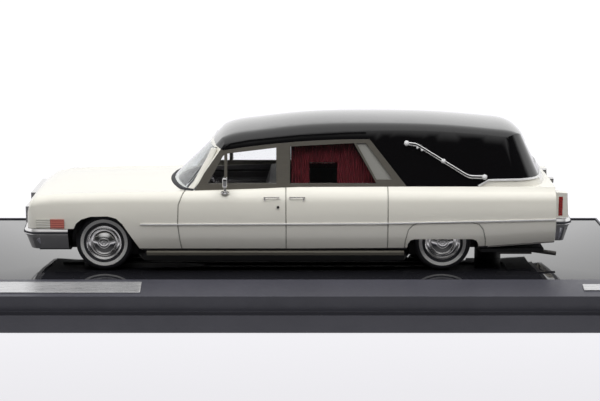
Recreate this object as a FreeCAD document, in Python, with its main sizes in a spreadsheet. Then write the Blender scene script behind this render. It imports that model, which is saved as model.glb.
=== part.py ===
"""Display model of a landau hearse, screwed to its gloss plinth. All sizes in millimetres.

Row frame: origin at the centre of the plinth's underside, +X towards the car's front,
+Y towards the car's left side and the plinth's sloped front edge, +Z up.
Car frame: x along the car, y from its centre plane, z up from the plinth's top. Each car piece
is modelled in the car frame, and its Placement carries it to the row frame.
"""
import FreeCAD, Part
import os
import Sketcher
from FreeCAD import Placement, Rotation, Vector

doc = FreeCAD.newDocument("display_hearse")

# ---------------------------------------------------------------------------------------------
# Driving dimensions
# ---------------------------------------------------------------------------------------------
DIMENSIONS = [
    ("plinth_length", 195.0, "overall length of the plinth's foot"),
    ("plinth_width", 94.7, "overall width of the plinth's foot"),
    ("plinth_height", 11.2, "underside to the flat top"),
    ("ledge_width", 3.5, "step round the block where a clear cover sits"),
    ("ledge_height", 4.7, "underside to the step"),
    ("bevel_run", 9.1, "depth of the sloped front edge"),
    ("bevel_drop", 2.3, "fall of the sloped front edge"),
    ("car_shift_x", -0.9, "car frame's origin along the plinth"),
    ("car_shift_y", 6.85, "car's centre plane in front of the plinth's middle"),
    ("wheelbase", 91.9, "front axle to rear axle"),
    ("front_axle_x", 53.2, "front axle ahead of the car frame's origin"),
    ("axle_height", 7.95, "axle centre above the plinth's top"),
    ("axle_radius", 0.8, "steel axle pin"),
    ("axle_clearance", 0.05, "radial running clearance of the pin in its bearings"),
    ("wheel_inset", 4.5, "body side to the outer face of the tyres"),
    ("tyre_radius", 7.75, "outer radius of a tyre"),
    ("tyre_width", 4.4, "width of a tyre"),
    ("rim_radius", 5.2, "radius of the wheel inside the tyre"),
    ("half_width", 22.9, "centre plane to the widest line of the body side"),
    ("belt_height", 23.6, "window sill line"),
    ("roof_height", 40.9, "highest line of the roof"),
    ("foot_height", 7.0, "lower edge of the body side"),
    ("body_wall", 1.2, "wall of the lower body casting"),
    ("roof_wall", 1.1, "wall of the roof and the window frames"),
    ("glass_depth", 0.35, "glazing behind the outer face"),
    ("glass_thickness", 0.5, "vacuum formed glazing"),
    ("groove_width", 0.28, "engraved shut line"),
    ("groove_depth", 0.22, "engraved shut line"),
    ("trim_proud", 0.25, "how far thin trim stands off the body"),
    ("plate_bottom", 5.4, "underside of the chassis plate"),
    ("plate_thickness", 1.0, "chassis plate"),
    ("post_radius", 3.7, "chassis post that stands on the plinth"),
    ("screw_radius", 1.2, "fixing screw"),
    ("screw_clearance", 0.15, "screw in the plinth's bore"),
    ("screw_head_radius", 2.6, "fixing screw head"),
    ("deck_height", 17.6, "top of the casket deck"),
    ("seam", 0.05, "assembly gap round lamps, grille and strips"),
    ("lens_depth", 0.5, "how deep the side lamps sit in the body"),
    ("bumper_proud", 0.6, "bumper face outside its mounting line"),
    ("lamp_radius", 1.9, "headlamp"),
    ("lamp_height", 16.0, "headlamp centre above the plinth's top"),
    ("lamp_spacing", 4.1, "between the two headlamps of a pair"),
    ("grille_inset", 12.3, "body side to the outer edge of the grille"),
    ("seat_inset", 6.4, "body side to the end of the bench"),
    ("floor_height", 11.8, "top of the cabin floor"),
]

sheet = doc.addObject("Spreadsheet::Sheet", "Dims")
for row, (alias, value, meaning) in enumerate(DIMENSIONS, start=1):
    sheet.set(f"A{row}", alias)
    sheet.set(f"B{row}", str(value))
    sheet.setAlias(f"B{row}", alias)
    sheet.set(f"C{row}", meaning)
doc.recompute()


def size(expression):
    """Value of an expression of the sheet's names, such as 'Dims.wheelbase / 2'."""
    return float(sheet.evalExpression(expression))


HALF = size("Dims.half_width")
BELT = size("Dims.belt_height")
ROOF = size("Dims.roof_height")
FOOT = size("Dims.foot_height")
BODY_WALL = size("Dims.body_wall")
ROOF_WALL = size("Dims.roof_wall")
FRONT_AXLE = size("Dims.front_axle_x")
REAR_AXLE = size("Dims.front_axle_x - Dims.wheelbase")
REAR_AXLE_X = "(Dims.front_axle_x - Dims.wheelbase)"
BEYOND = 60.0      # reach of cutting prisms, clear of the whole car

CAR_PLACEMENT = Placement(
    Vector(size("Dims.car_shift_x"), size("Dims.car_shift_y"), size("Dims.plinth_height")), Rotation())

sub_parts = []


def front(offset):
    """x of a point that belongs to the nose, cabin or doors, measured from the front axle."""
    return FRONT_AXLE + offset


def rear(offset):
    """x of a point that belongs to the tail, measured from the rear axle."""
    return REAR_AXLE + offset


# ---------------------------------------------------------------------------------------------
# Helpers for parametric bodies
# ---------------------------------------------------------------------------------------------
def place_in_car(thing, x="0", y="0", z="0"):
    """Bind a piece's Placement to the car frame, moved by x, y, z in that frame."""
    thing.setExpression("Placement.Base.x", f"Dims.car_shift_x + {x}")
    thing.setExpression("Placement.Base.y", f"Dims.car_shift_y + {y}")
    thing.setExpression("Placement.Base.z", f"Dims.plinth_height + {z}")


def keep(thing, name):
    """Name a finished sub-part and list it for export."""
    thing.Label = name
    sub_parts.append(thing)
    return thing


def new_body(name):
    return keep(doc.addObject("PartDesign::Body", name), name)


def origin_plane(body, role):
    return [feature for feature in body.Origin.OriginFeatures if feature.Role == role][0]


def sketch_on(body, name, role, height="0"):
    """Empty sketch on one of the body's own origin planes, moved along the plane's normal."""
    sketch = body.newObject("Sketcher::SketchObject", name)
    sketch.AttachmentSupport = [(origin_plane(body, role), "")]
    sketch.MapMode = "FlatFace"
    sketch.setExpression("AttachmentOffset.Base.z", height)
    return sketch


def draw_outline(sketch, corners):
    """Closed outline of straight edges. Each corner is a pair of expressions, and is bound to them."""
    points = [Vector(size(across), size(up), 0) for across, up in corners]
    first = sketch.GeometryCount
    count = len(points)
    for index, point in enumerate(points):
        sketch.addGeometry(Part.LineSegment(point, points[(index + 1) % count]), False)
    for index, (across, up) in enumerate(corners):
        edge = first + index
        after = first + (index + 1) % count
        sketch.addConstraint(Sketcher.Constraint("Coincident", edge, 2, after, 1))
        for kind, value, text in (("DistanceX", points[index].x, across), ("DistanceY", points[index].y, up)):
            number = sketch.addConstraint(Sketcher.Constraint(kind, -1, 1, edge, 1, value))
            sketch.setExpression(f"Constraints[{number}]", text)
    return sketch


def draw_circle(sketch, across, up, radius):
    """Circle bound to expressions for its centre and radius."""
    centre = Vector(size(across), size(up), 0)
    circle = sketch.addGeometry(Part.Circle(centre, Vector(0, 0, 1), size(radius)), False)
    for kind, value, text in (("DistanceX", centre.x, across), ("DistanceY", centre.y, up)):
        number = sketch.addConstraint(Sketcher.Constraint(kind, -1, 1, circle, 3, value))
        sketch.setExpression(f"Constraints[{number}]", text)
    number = sketch.addConstraint(Sketcher.Constraint("Radius", circle, size(radius)))
    sketch.setExpression(f"Constraints[{number}]", radius)
    return sketch


def rectangle(low_across, low_up, high_across, high_up):
    return [(low_across, low_up), (high_across, low_up), (high_across, high_up), (low_across, high_up)]


def pad(body, sketch, length, midplane=False, backwards=False):
    feature = body.newObject("PartDesign::Pad", "Pad")
    feature.Profile = sketch
    feature.setExpression("Length", length)
    feature.Midplane = midplane
    feature.Reversed = backwards
    return feature


def pocket(body, sketch, length, midplane=False, backwards=False):
    feature = body.newObject("PartDesign::Pocket", "Pocket")
    feature.Profile = sketch
    feature.setExpression("Length", length)
    feature.Midplane = midplane
    feature.Reversed = backwards
    return feature


def revolve(body, sketch, axis="H_Axis"):
    feature = body.newObject("PartDesign::Revolution", "Revolution")
    feature.Profile = sketch
    feature.ReferenceAxis = (sketch, [axis])
    feature.Angle = 360.0
    return feature


# ---------------------------------------------------------------------------------------------
# Helpers for the lofted shells
# ---------------------------------------------------------------------------------------------
def polygon_face(points):
    return Part.Face(Part.makePolygon(list(points) + [points[0]]))


def side_prism(outline, low=-BEYOND, high=BEYOND):
    """Prism across the car from a closed outline of (x, z) points."""
    face = polygon_face([Vector(x, low, z) for x, z in outline])
    return face.extrude(Vector(0, high - low, 0))


def front_prism(outline, low, high):
    """Prism along the car from a closed outline of (y, z) points."""
    face = polygon_face([Vector(low, y, z) for y, z in outline])
    return face.extrude(Vector(high - low, 0, 0))


def band(route, width):
    """Outline of a band of even width along a route of (x, z) points, mitred at its corners."""
    sides = ([], [])
    points = [Vector(x, 0, z) for x, z in route]
    for index, point in enumerate(points):
        before = points[max(index - 1, 0)]
        after = points[min(index + 1, len(points) - 1)]
        normals = []
        for start, end in ((before, point), (point, after)):
            if (end - start).Length > 1e-6:
                along = (end - start).normalize()
                normals.append(Vector(-along.z, 0, along.x))
        mitre = sum(normals[1:], normals[0]).normalize()
        reach = width / 2 / mitre.dot(normals[0])
        sides[0].append((point.x + mitre.x * reach, point.z + mitre.z * reach))
        sides[1].append((point.x - mitre.x * reach, point.z - mitre.z * reach))
    return sides[0] + sides[1][::-1]


def arc_edge(start, via, end):
    return Part.Arc(start, via, end).toShape()


def line_edge(start, end):
    return Part.LineSegment(start, end).toShape()


def only_solids(shape):
    """The shape's solids, as one solid where there is one, else as a compound."""
    solids = shape.Solids
    return solids[0] if len(solids) == 1 else Part.makeCompound(solids)


def keep_shape(name, shape):
    """Store a shape of the car frame as a finished sub-part."""
    feature = doc.addObject("Part::Feature", name)
    feature.Shape = only_solids(shape)
    feature.Placement = CAR_PLACEMENT
    return keep(feature, name)


# ---------------------------------------------------------------------------------------------
# Lower body: cross-sections from the nose to the tail
# ---------------------------------------------------------------------------------------------
# Columns: x; how far the top's middle, the inner shoulder, the edge line and the side's upper
# end lie below the belt; how far the inner shoulder, edge line, side's upper end, widest line
# and foot lie inside the half width; rise of the foot.
BODY_COLUMNS = ("x", "middle", "inner", "edge", "side", "inner_in", "edge_in", "side_in", "wide_in",
                "foot_in", "foot_rise")
NOSE_SECTIONS = (
    (front(20.2), 5.8, 6.1, 6.4, 7.8, 5.2, 3.7, 2.7, 2.5, 3.2, 1.0),
    (front(19.5), 3.3, 3.7, 4.0, 5.9, 5.0, 3.1, 1.7, 1.5, 2.6, 0.6),
    (front(18.6), 2.4, 2.9, 3.1, 5.3, 4.9, 2.9, 1.2, 1.0, 2.3, 0.4),
    (front(17.0), 1.8, 2.4, 2.5, 4.8, 4.8, 2.7, 0.9, 0.7, 2.0, 0.2),
    (front(12.8), 1.2, 2.0, 1.8, 4.3, 4.7, 2.5, 0.6, 0.4, 1.7, 0.0),
)
MAIN_SECTIONS = (
    NOSE_SECTIONS[-1],
    (front(0.0), 0.8, 1.7, 1.4, 4.1, 4.6, 2.5, 0.5, 0.1, 1.6, 0.0),
    (front(-19.2), 0.5, 1.2, 1.1, 4.1, 4.3, 2.5, 0.4, 0.0, 1.6, 0.0),
    (front(-53.2), -0.3, 0.1, 0.5, 4.4, 3.3, 2.6, 0.4, 0.0, 1.6, 0.0),
    (rear(8.0), -0.4, 0.0, 0.9, 4.1, 3.2, 2.4, 0.4, 0.0, 1.6, 0.2),
    (rear(-12.0), -0.4, 0.0, 1.1, 4.0, 3.2, 2.4, 0.5, 0.1, 1.7, 0.7),
    (rear(-30.0), -0.3, 0.1, 1.2, 4.0, 3.4, 2.7, 0.9, 0.6, 2.2, 1.9),
)
WAIST = 14.0       # height of the widest line, where the body side turns under


def body_wire(section, inset, bottom_drop):
    """Closed cross-section of the lower body, moved inwards by inset."""
    at = dict(zip(BODY_COLUMNS, section))
    middle = BELT - at["middle"] - inset
    left = [
        Vector(at["x"], HALF - at["inner_in"] - inset, BELT - at["inner"] - inset),
        Vector(at["x"], HALF - at["edge_in"] - inset, BELT - at["edge"] - inset),
        Vector(at["x"], HALF - at["side_in"] - inset, BELT - at["side"]),
        Vector(at["x"], HALF - at["foot_in"] - inset, FOOT + at["foot_rise"]),
        Vector(at["x"], HALF - at["foot_in"] - inset - 0.9, FOOT + at["foot_rise"] - 0.6 - bottom_drop),
    ]
    shoulder = (left[1] + left[2]) / 2 + Vector(0, 0.35, 0.25)
    waist = Vector(at["x"], HALF - at["wide_in"] - inset, WAIST)
    flip = [Vector(point.x, -point.y, point.z) for point in left]
    flipped_shoulder = Vector(shoulder.x, -shoulder.y, shoulder.z)
    flipped_waist = Vector(waist.x, -waist.y, waist.z)
    edges = [
        arc_edge(flip[0], Vector(at["x"], 0, middle), left[0]),
        line_edge(left[0], left[1]),
        arc_edge(left[1], shoulder, left[2]),
        arc_edge(left[2], waist, left[3]),
        line_edge(left[3], left[4]),
        line_edge(left[4], flip[4]),
        line_edge(flip[4], flip[3]),
        arc_edge(flip[3], flipped_waist, flip[2]),
        arc_edge(flip[2], flipped_shoulder, flip[1]),
        line_edge(flip[1], flip[0]),
    ]
    return Part.Wire(edges)


def loft(wires, ruled=False):
    return Part.makeLoft(wires, True, ruled, False)


def body_solid(inset=0.0, bottom_drop=0.0, trim=0.0):
    """The lower body as one block. A trim shortens it at both ends for the hollow inside."""
    main = [body_wire(section, inset, bottom_drop) for section in MAIN_SECTIONS]
    nose = [body_wire(section, inset, bottom_drop) for section in NOSE_SECTIONS]
    block = loft(main, ruled=True)
    if trim:
        block = block.fuse(loft(nose[3:], ruled=True))
        beyond_tail = Vector(REAR_AXLE - 30.0 + trim - BEYOND, -BEYOND, -BEYOND)
        return block.cut(Part.makeBox(BEYOND, 2 * BEYOND, 2 * BEYOND, beyond_tail))
    return block.fuse(loft(nose, ruled=True))


# ---------------------------------------------------------------------------------------------
# Greenhouse: walls between two plan outlines, under a crowned roof
# ---------------------------------------------------------------------------------------------
HEADER = 11.0      # height of the upper plan outline above the belt

# Columns: name; x and inset from the half width at the belt; x and inset at the header.
PLAN = {
    "screen_middle": (front(-17.9), HALF, front(-29.4), HALF),
    "screen_corner": (front(-22.0), 5.6, front(-30.9), 8.4),
    "pillar": (front(-24.9), 3.5, front(-32.7), 6.2),
    "side_end": (rear(-19.5), 3.6, rear(-17.0), 6.3),
    "corner_end": (rear(-27.4), 9.9, rear(-22.4), 11.9),
    "tail_middle": (rear(-29.3), HALF, rear(-23.4), HALF),
}
# Columns: x; crown and eave below the roof's highest line.
ROOF_SECTIONS = (
    (front(-27.0), 8.7, 9.4),
    (front(-29.0), 6.7, 7.9),
    (front(-30.8), 4.9, 7.0),
    (front(-33.7), 3.3, 6.2),
    (front(-39.7), 2.1, 5.3),
    (front(-53.2), 0.5, 3.9),
    (front(-73.2), 0.0, 2.9),
    (rear(-1.3), 0.6, 3.3),
    (rear(-15.3), 1.8, 4.5),
    (rear(-19.5), 2.6, 5.2),
    (rear(-21.9), 4.1, 6.2),
    (rear(-23.5), 6.3, 7.5),
    (rear(-25.3), 9.9, 10.3),
)


def plan_point(name, height, inset):
    """Point of the greenhouse's plan outline at a height, moved inwards by inset."""
    low_x, low_in, high_x, high_in = PLAN[name]
    share = (height - BELT) / HEADER
    slope = (high_x - low_x) / HEADER
    lean = (1 + slope * slope) ** 0.5
    towards = -1 if name in ("screen_middle", "screen_corner") else 1
    if name in ("pillar", "side_end"):
        towards = 0
    across = HALF - (low_in + (high_in - low_in) * share)
    if across > 0.01:
        across = max(across - inset * (1.03 if towards == 0 else 0.6), 0.5)
    return Vector(low_x + (high_x - low_x) * share + towards * inset * lean, across, height)


def wall_wire(height, inset):
    """Closed plan outline: windscreen arc, sides, rounded rear corners and a bowed tail."""
    left = {name: plan_point(name, height, inset) for name in PLAN}
    right = {name: Vector(point.x, -point.y, point.z) for name, point in left.items()}

    def corner_via(end, begin, sign):
        middle = (end + begin) / 2
        return middle + Vector(-0.20 * abs(end.y - begin.y), sign * 0.20 * abs(end.x - begin.x), 0)

    edges = [
        arc_edge(right["screen_corner"], left["screen_middle"], left["screen_corner"]),
        line_edge(left["screen_corner"], left["pillar"]),
        line_edge(left["pillar"], left["side_end"]),
        arc_edge(left["side_end"], corner_via(left["side_end"], left["corner_end"], 1), left["corner_end"]),
        arc_edge(left["corner_end"], left["tail_middle"], right["corner_end"]),
        arc_edge(right["corner_end"], corner_via(right["side_end"], right["corner_end"], -1),
                 right["side_end"]),
        line_edge(right["side_end"], right["pillar"]),
        line_edge(right["pillar"], right["screen_corner"]),
    ]
    return Part.Wire(edges)


def eave_half_width(height):
    return plan_point("pillar", height, 0.0).y + 0.02


def roof_wire(section, inset):
    """Closed cross-section under the roof: crown, rolled edge, then out past the walls and down."""
    x, crown_drop, eave_drop = section
    crown = ROOF - crown_drop - inset
    eave = ROOF - eave_drop - inset
    eave_y = eave_half_width(ROOF - eave_drop) - inset
    roll_y = eave_y - 3.2
    roll = eave + (crown - eave) * 0.72
    via_y = (eave_y + roll_y) / 2 + 0.11 * (roll - eave)
    via = (eave + roll) / 2 + 0.11 * (eave_y - roll_y)
    outer = HALF + 5.0
    base = BELT - 8.0

    def point(y, z):
        return Vector(x, y, z)

    edges = [
        arc_edge(point(-roll_y, roll), point(0, crown), point(roll_y, roll)),
        arc_edge(point(roll_y, roll), point(via_y, via), point(eave_y, eave)),
        line_edge(point(eave_y, eave), point(outer, eave)),
        line_edge(point(outer, eave), point(outer, base)),
        line_edge(point(outer, base), point(-outer, base)),
        line_edge(point(-outer, base), point(-outer, eave)),
        line_edge(point(-outer, eave), point(-eave_y, eave)),
        arc_edge(point(-eave_y, eave), point(-via_y, via), point(-roll_y, roll)),
    ]
    return Part.Wire(edges)


def wall_block(inset, top=BELT + 13.0):
    """Block between the greenhouse's flat sides, windscreen and tail, moved inwards by inset."""
    return loft([wall_wire(BELT - 5.0, inset), wall_wire(top, inset)], ruled=True)


def greenhouse_solid(inset=0.0, sections=ROOF_SECTIONS, ruled=False):
    """Everything above the belt as one block, moved inwards by inset."""
    first = sections[0]
    last = sections[-1]
    nose_end = (first[0] + 14.0, first[1], first[2])
    tail_end = (last[0] - 8.0, last[1], last[2])
    roof = loft([roof_wire(section, inset) for section in sections], ruled)
    ends = [loft([roof_wire(near, inset), roof_wire(far, inset)], ruled=True)
            for near, far in ((first, nose_end), (last, tail_end))]
    return wall_block(inset, ROOF + 2.0).common(roof.fuse(ends))


# Outlines in the side view, as (x, z) points.
FRAME_FOOT = (front(-27.1), BELT - 0.4)
FRAME_HEAD = (front(-32.6), BELT + 9.5)
FRAME_REAR_HEAD = (front(-72.0), BELT + 12.4)
FRAME_REAR_FOOT = (front(-82.0), BELT - 0.1)


def door_zone():
    """Region of the greenhouse side that holds the bright window frames."""
    low = BELT - 9.0
    corners = [Vector(x, -BEYOND, z) for x, z in (
        (FRAME_FOOT[0], low), FRAME_FOOT, FRAME_HEAD, FRAME_REAR_HEAD, FRAME_REAR_FOOT,
        (FRAME_REAR_FOOT[0], low))]
    top = Vector(front(-53.2), -BEYOND, BELT + 11.8)
    edges = [line_edge(corners[0], corners[1]), line_edge(corners[1], corners[2]),
             arc_edge(corners[2], top, corners[3]), line_edge(corners[3], corners[4]),
             line_edge(corners[4], corners[5]), line_edge(corners[5], corners[0])]
    return Part.Face(Part.Wire(edges)).extrude(Vector(0, 2 * BEYOND, 0))


def screen_zone():
    """Region in front of the door frames and under the roof's front edge."""
    low = BELT - 9.0
    return side_prism([(FRAME_FOOT[0], low), FRAME_FOOT, FRAME_HEAD, (front(-28.6), BELT + 11.3),
                       (front(10.0), BELT + 13.0), (front(10.0), low)])


def tail_zone():
    """Painted tail below the chrome bead, part of the lower body casting."""
    low = BELT - 9.0
    return side_prism([(rear(-9.3), low), (rear(-9.3), BELT + 0.15)] + BEAD_ROUTE[1:]
                      + [(rear(-45.0), BELT + 3.6), (rear(-45.0), low)])


BEAD_ROUTE = [(rear(-9.3), BELT + 0.15), (rear(-12.1), BELT + 1.7), (rear(-26.2), BELT + 2.0),
              (rear(-28.6), BELT + 3.0)]
SILL_Z = BELT + 0.75       # lower edge of the window openings
FRONT_DOOR_OPENING = [(front(-28.4), SILL_Z), (front(-32.4), BELT + 7.9), (front(-33.1), BELT + 8.6),
                      (front(-46.8), BELT + 10.2), (front(-46.8), SILL_Z)]
REAR_DOOR_OPENING = [(front(-50.5), SILL_Z), (front(-50.5), BELT + 10.5), (front(-67.7), BELT + 11.4),
                     (front(-73.8), SILL_Z)]
QUARTER_PANEL = [(front(-68.4), BELT + 11.4), (front(-70.9), BELT + 11.4), (front(-78.2), BELT + 1.8),
                 (front(-73.8), BELT + 1.8)]
VENT_BAR = [(front(-33.6), SILL_Z - 1), (front(-32.8), SILL_Z - 1), (front(-32.8), BELT + 9.5),
            (front(-33.6), BELT + 9.5)]
SCREEN_OPENING = [(front(-24.6), BELT - 1.5), (front(-31.0), BELT + 10.0), (front(-10.0), BELT + 10.0),
                  (front(-10.0), BELT - 1.5)]
REAR_OPENING = [(12.4 - HALF, BELT + 4.6), (HALF - 12.4, BELT + 4.6), (HALF - 13.4, BELT + 10.6),
                (13.4 - HALF, BELT + 10.6)]


def half_space(sign):
    """Large block on the left (+1) or right (-1) of the centre plane."""
    low = 0.0 if sign > 0 else -BEYOND
    return Part.makeBox(4 * BEYOND, BEYOND, 2 * BEYOND, Vector(-2 * BEYOND, low, -BEYOND / 2))


# ---------------------------------------------------------------------------------------------
# Plinth, its plates and its fixings
# ---------------------------------------------------------------------------------------------
BLOCK_HALF_LENGTH = "(Dims.plinth_length / 2 - Dims.ledge_width)"
BLOCK_HALF_WIDTH = "(Dims.plinth_width / 2 - Dims.ledge_width)"
FRONT_POST_X = "(Dims.front_axle_x + 4.2)"
REAR_POST_X = f"({REAR_AXLE_X} - 14.4)"
POSTS = (FRONT_POST_X, REAR_POST_X)


def build_plinth():
    body = new_body("plinth")
    foot = sketch_on(body, "Foot", "XY_Plane")
    draw_outline(foot, rectangle("-Dims.plinth_length / 2", "-Dims.plinth_width / 2",
                                 "Dims.plinth_length / 2", "Dims.plinth_width / 2"))
    pad(body, foot, "Dims.ledge_height")
    block = sketch_on(body, "Block", "YZ_Plane")
    draw_outline(block, [
        (f"-{BLOCK_HALF_WIDTH}", "Dims.ledge_height"),
        (BLOCK_HALF_WIDTH, "Dims.ledge_height"),
        (BLOCK_HALF_WIDTH, "Dims.plinth_height - Dims.bevel_drop"),
        (f"{BLOCK_HALF_WIDTH} - Dims.bevel_run", "Dims.plinth_height"),
        (f"-{BLOCK_HALF_WIDTH}", "Dims.plinth_height"),
    ])
    pad(body, block, f"2 * {BLOCK_HALF_LENGTH}", midplane=True)
    recess = sketch_on(body, "HeadRecesses", "XY_Plane")
    shanks = sketch_on(body, "ShankHoles", "XY_Plane")
    for post in POSTS:
        centre = f"Dims.car_shift_x + {post}"
        draw_circle(recess, centre, "Dims.car_shift_y", "Dims.screw_head_radius + 0.4")
        draw_circle(shanks, centre, "Dims.car_shift_y", "Dims.screw_radius + Dims.screw_clearance")
    pocket(body, recess, "Dims.ledge_height - 1", backwards=True)
    pocket(body, shanks, "Dims.plinth_height + 1", backwards=True)
    return body


def build_slope_plate(name, middle_x, length, width):
    """Thin blank metal plate lying on the plinth's sloped front edge."""
    plate = keep(doc.addObject("Part::Box", name), name)
    plate.Length = length
    plate.Width = width
    plate.Height = 0.3
    run = size("Dims.bevel_run")
    drop = size("Dims.bevel_drop")
    tilt = Rotation(Vector(0, run, 0), Vector(0, run, -drop))
    middle = Vector(middle_x, size(BLOCK_HALF_WIDTH) - run / 2, size("Dims.plinth_height") - drop / 2)
    plate.Placement = Placement(middle + tilt.multVec(Vector(-length / 2, -width / 2, 0)), tilt)
    return plate


def build_screws():
    """Screws from the plinth's underside up into the chassis posts."""
    solids = []
    head = size("Dims.screw_head_radius")
    shank = size("Dims.screw_radius")
    start = size("Dims.ledge_height - 1 - Dims.plinth_height")
    top = size("Dims.plate_bottom - 1")
    for post in POSTS:
        base = Vector(size(post), 0, start)
        screw = Part.makeCylinder(shank, top - start, base)
        solids.append(screw.fuse(Part.makeCylinder(head, 1.6, base - Vector(0, 0, 1.6))))
    return keep_shape("fixing_screws", Part.makeCompound(solids))


# ---------------------------------------------------------------------------------------------
# Wheels and axles
# ---------------------------------------------------------------------------------------------
def build_axle(name, axle_x):
    pin = keep(doc.addObject("Part::Cylinder", name), name)
    pin.setExpression("Radius", "Dims.axle_radius")
    pin.setExpression("Height", "2 * ((Dims.half_width - Dims.wheel_inset) - 1.6)")
    pin.Placement = Placement(Vector(), Rotation(Vector(1, 0, 0), -90))
    place_in_car(pin, axle_x, "(1.6 - (Dims.half_width - Dims.wheel_inset))", "Dims.axle_height")
    return pin


def build_tyre(name, axle_x, side):
    """Whitewall tyre with bevelled shoulders."""
    body = new_body(name)
    profile = sketch_on(body, "Section", "YZ_Plane")
    inner = f"({side} * ((Dims.half_width - Dims.wheel_inset) - Dims.tyre_width))"
    outer = f"({side} * (Dims.half_width - Dims.wheel_inset))"
    draw_outline(profile, [
        (inner, "Dims.rim_radius"),
        (inner, "Dims.tyre_radius - 0.7"),
        (f"{inner} + {side} * 0.9", "Dims.tyre_radius"),
        (f"{outer} - {side} * 0.9", "Dims.tyre_radius"),
        (f"{outer} - {side} * 0.12", "Dims.tyre_radius - 0.7"),
        (outer, "Dims.tyre_radius - 1.25"),
        (outer, "Dims.rim_radius"),
    ])
    revolve(body, profile)
    place_in_car(body, axle_x, "0", "Dims.axle_height")
    return body


def build_wheel(name, axle_x, side):
    """Wheel disc with a stepped full cover: outer ring, dish, dome and centre cap."""
    body = new_body(name)
    profile = sketch_on(body, "Section", "YZ_Plane")
    face = f"({side} * (Dims.half_width - Dims.wheel_inset))"
    back = f"({side} * ((Dims.half_width - Dims.wheel_inset) - Dims.tyre_width + 0.9))"
    bore = "Dims.axle_radius + 0.01"
    draw_outline(profile, [
        (back, bore),
        (back, "Dims.rim_radius"),
        (f"{face} - {side} * 0.1", "Dims.rim_radius"),
        (f"{face} + {side} * 0.05", "Dims.rim_radius - 0.7"),
        (f"{face} - {side} * 0.75", "Dims.rim_radius - 1.1"),
        (f"{face} - {side} * 0.75", "Dims.rim_radius - 1.9"),
        (f"{face} + {side} * 0.1", "Dims.rim_radius - 3.7"),
        (f"{face} + {side} * 0.42", "0.8"),
        (f"{face} + {side} * 0.42", "0"),
        (f"{face} - {side} * 1.5", "0"),
        (f"{face} - {side} * 1.5", bore),
    ])
    revolve(body, profile)
    place_in_car(body, axle_x, "0", "Dims.axle_height")
    return body


def build_running_gear():
    for end, axle_x in (("front", "Dims.front_axle_x"), ("rear", REAR_AXLE_X)):
        build_axle(f"{end}_axle_pin", axle_x)
        for hand, side in (("left", "1"), ("right", "(-1)")):
            build_tyre(f"{end}_{hand}_tyre", axle_x, side)
            build_wheel(f"{end}_{hand}_wheel", axle_x, side)


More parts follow.
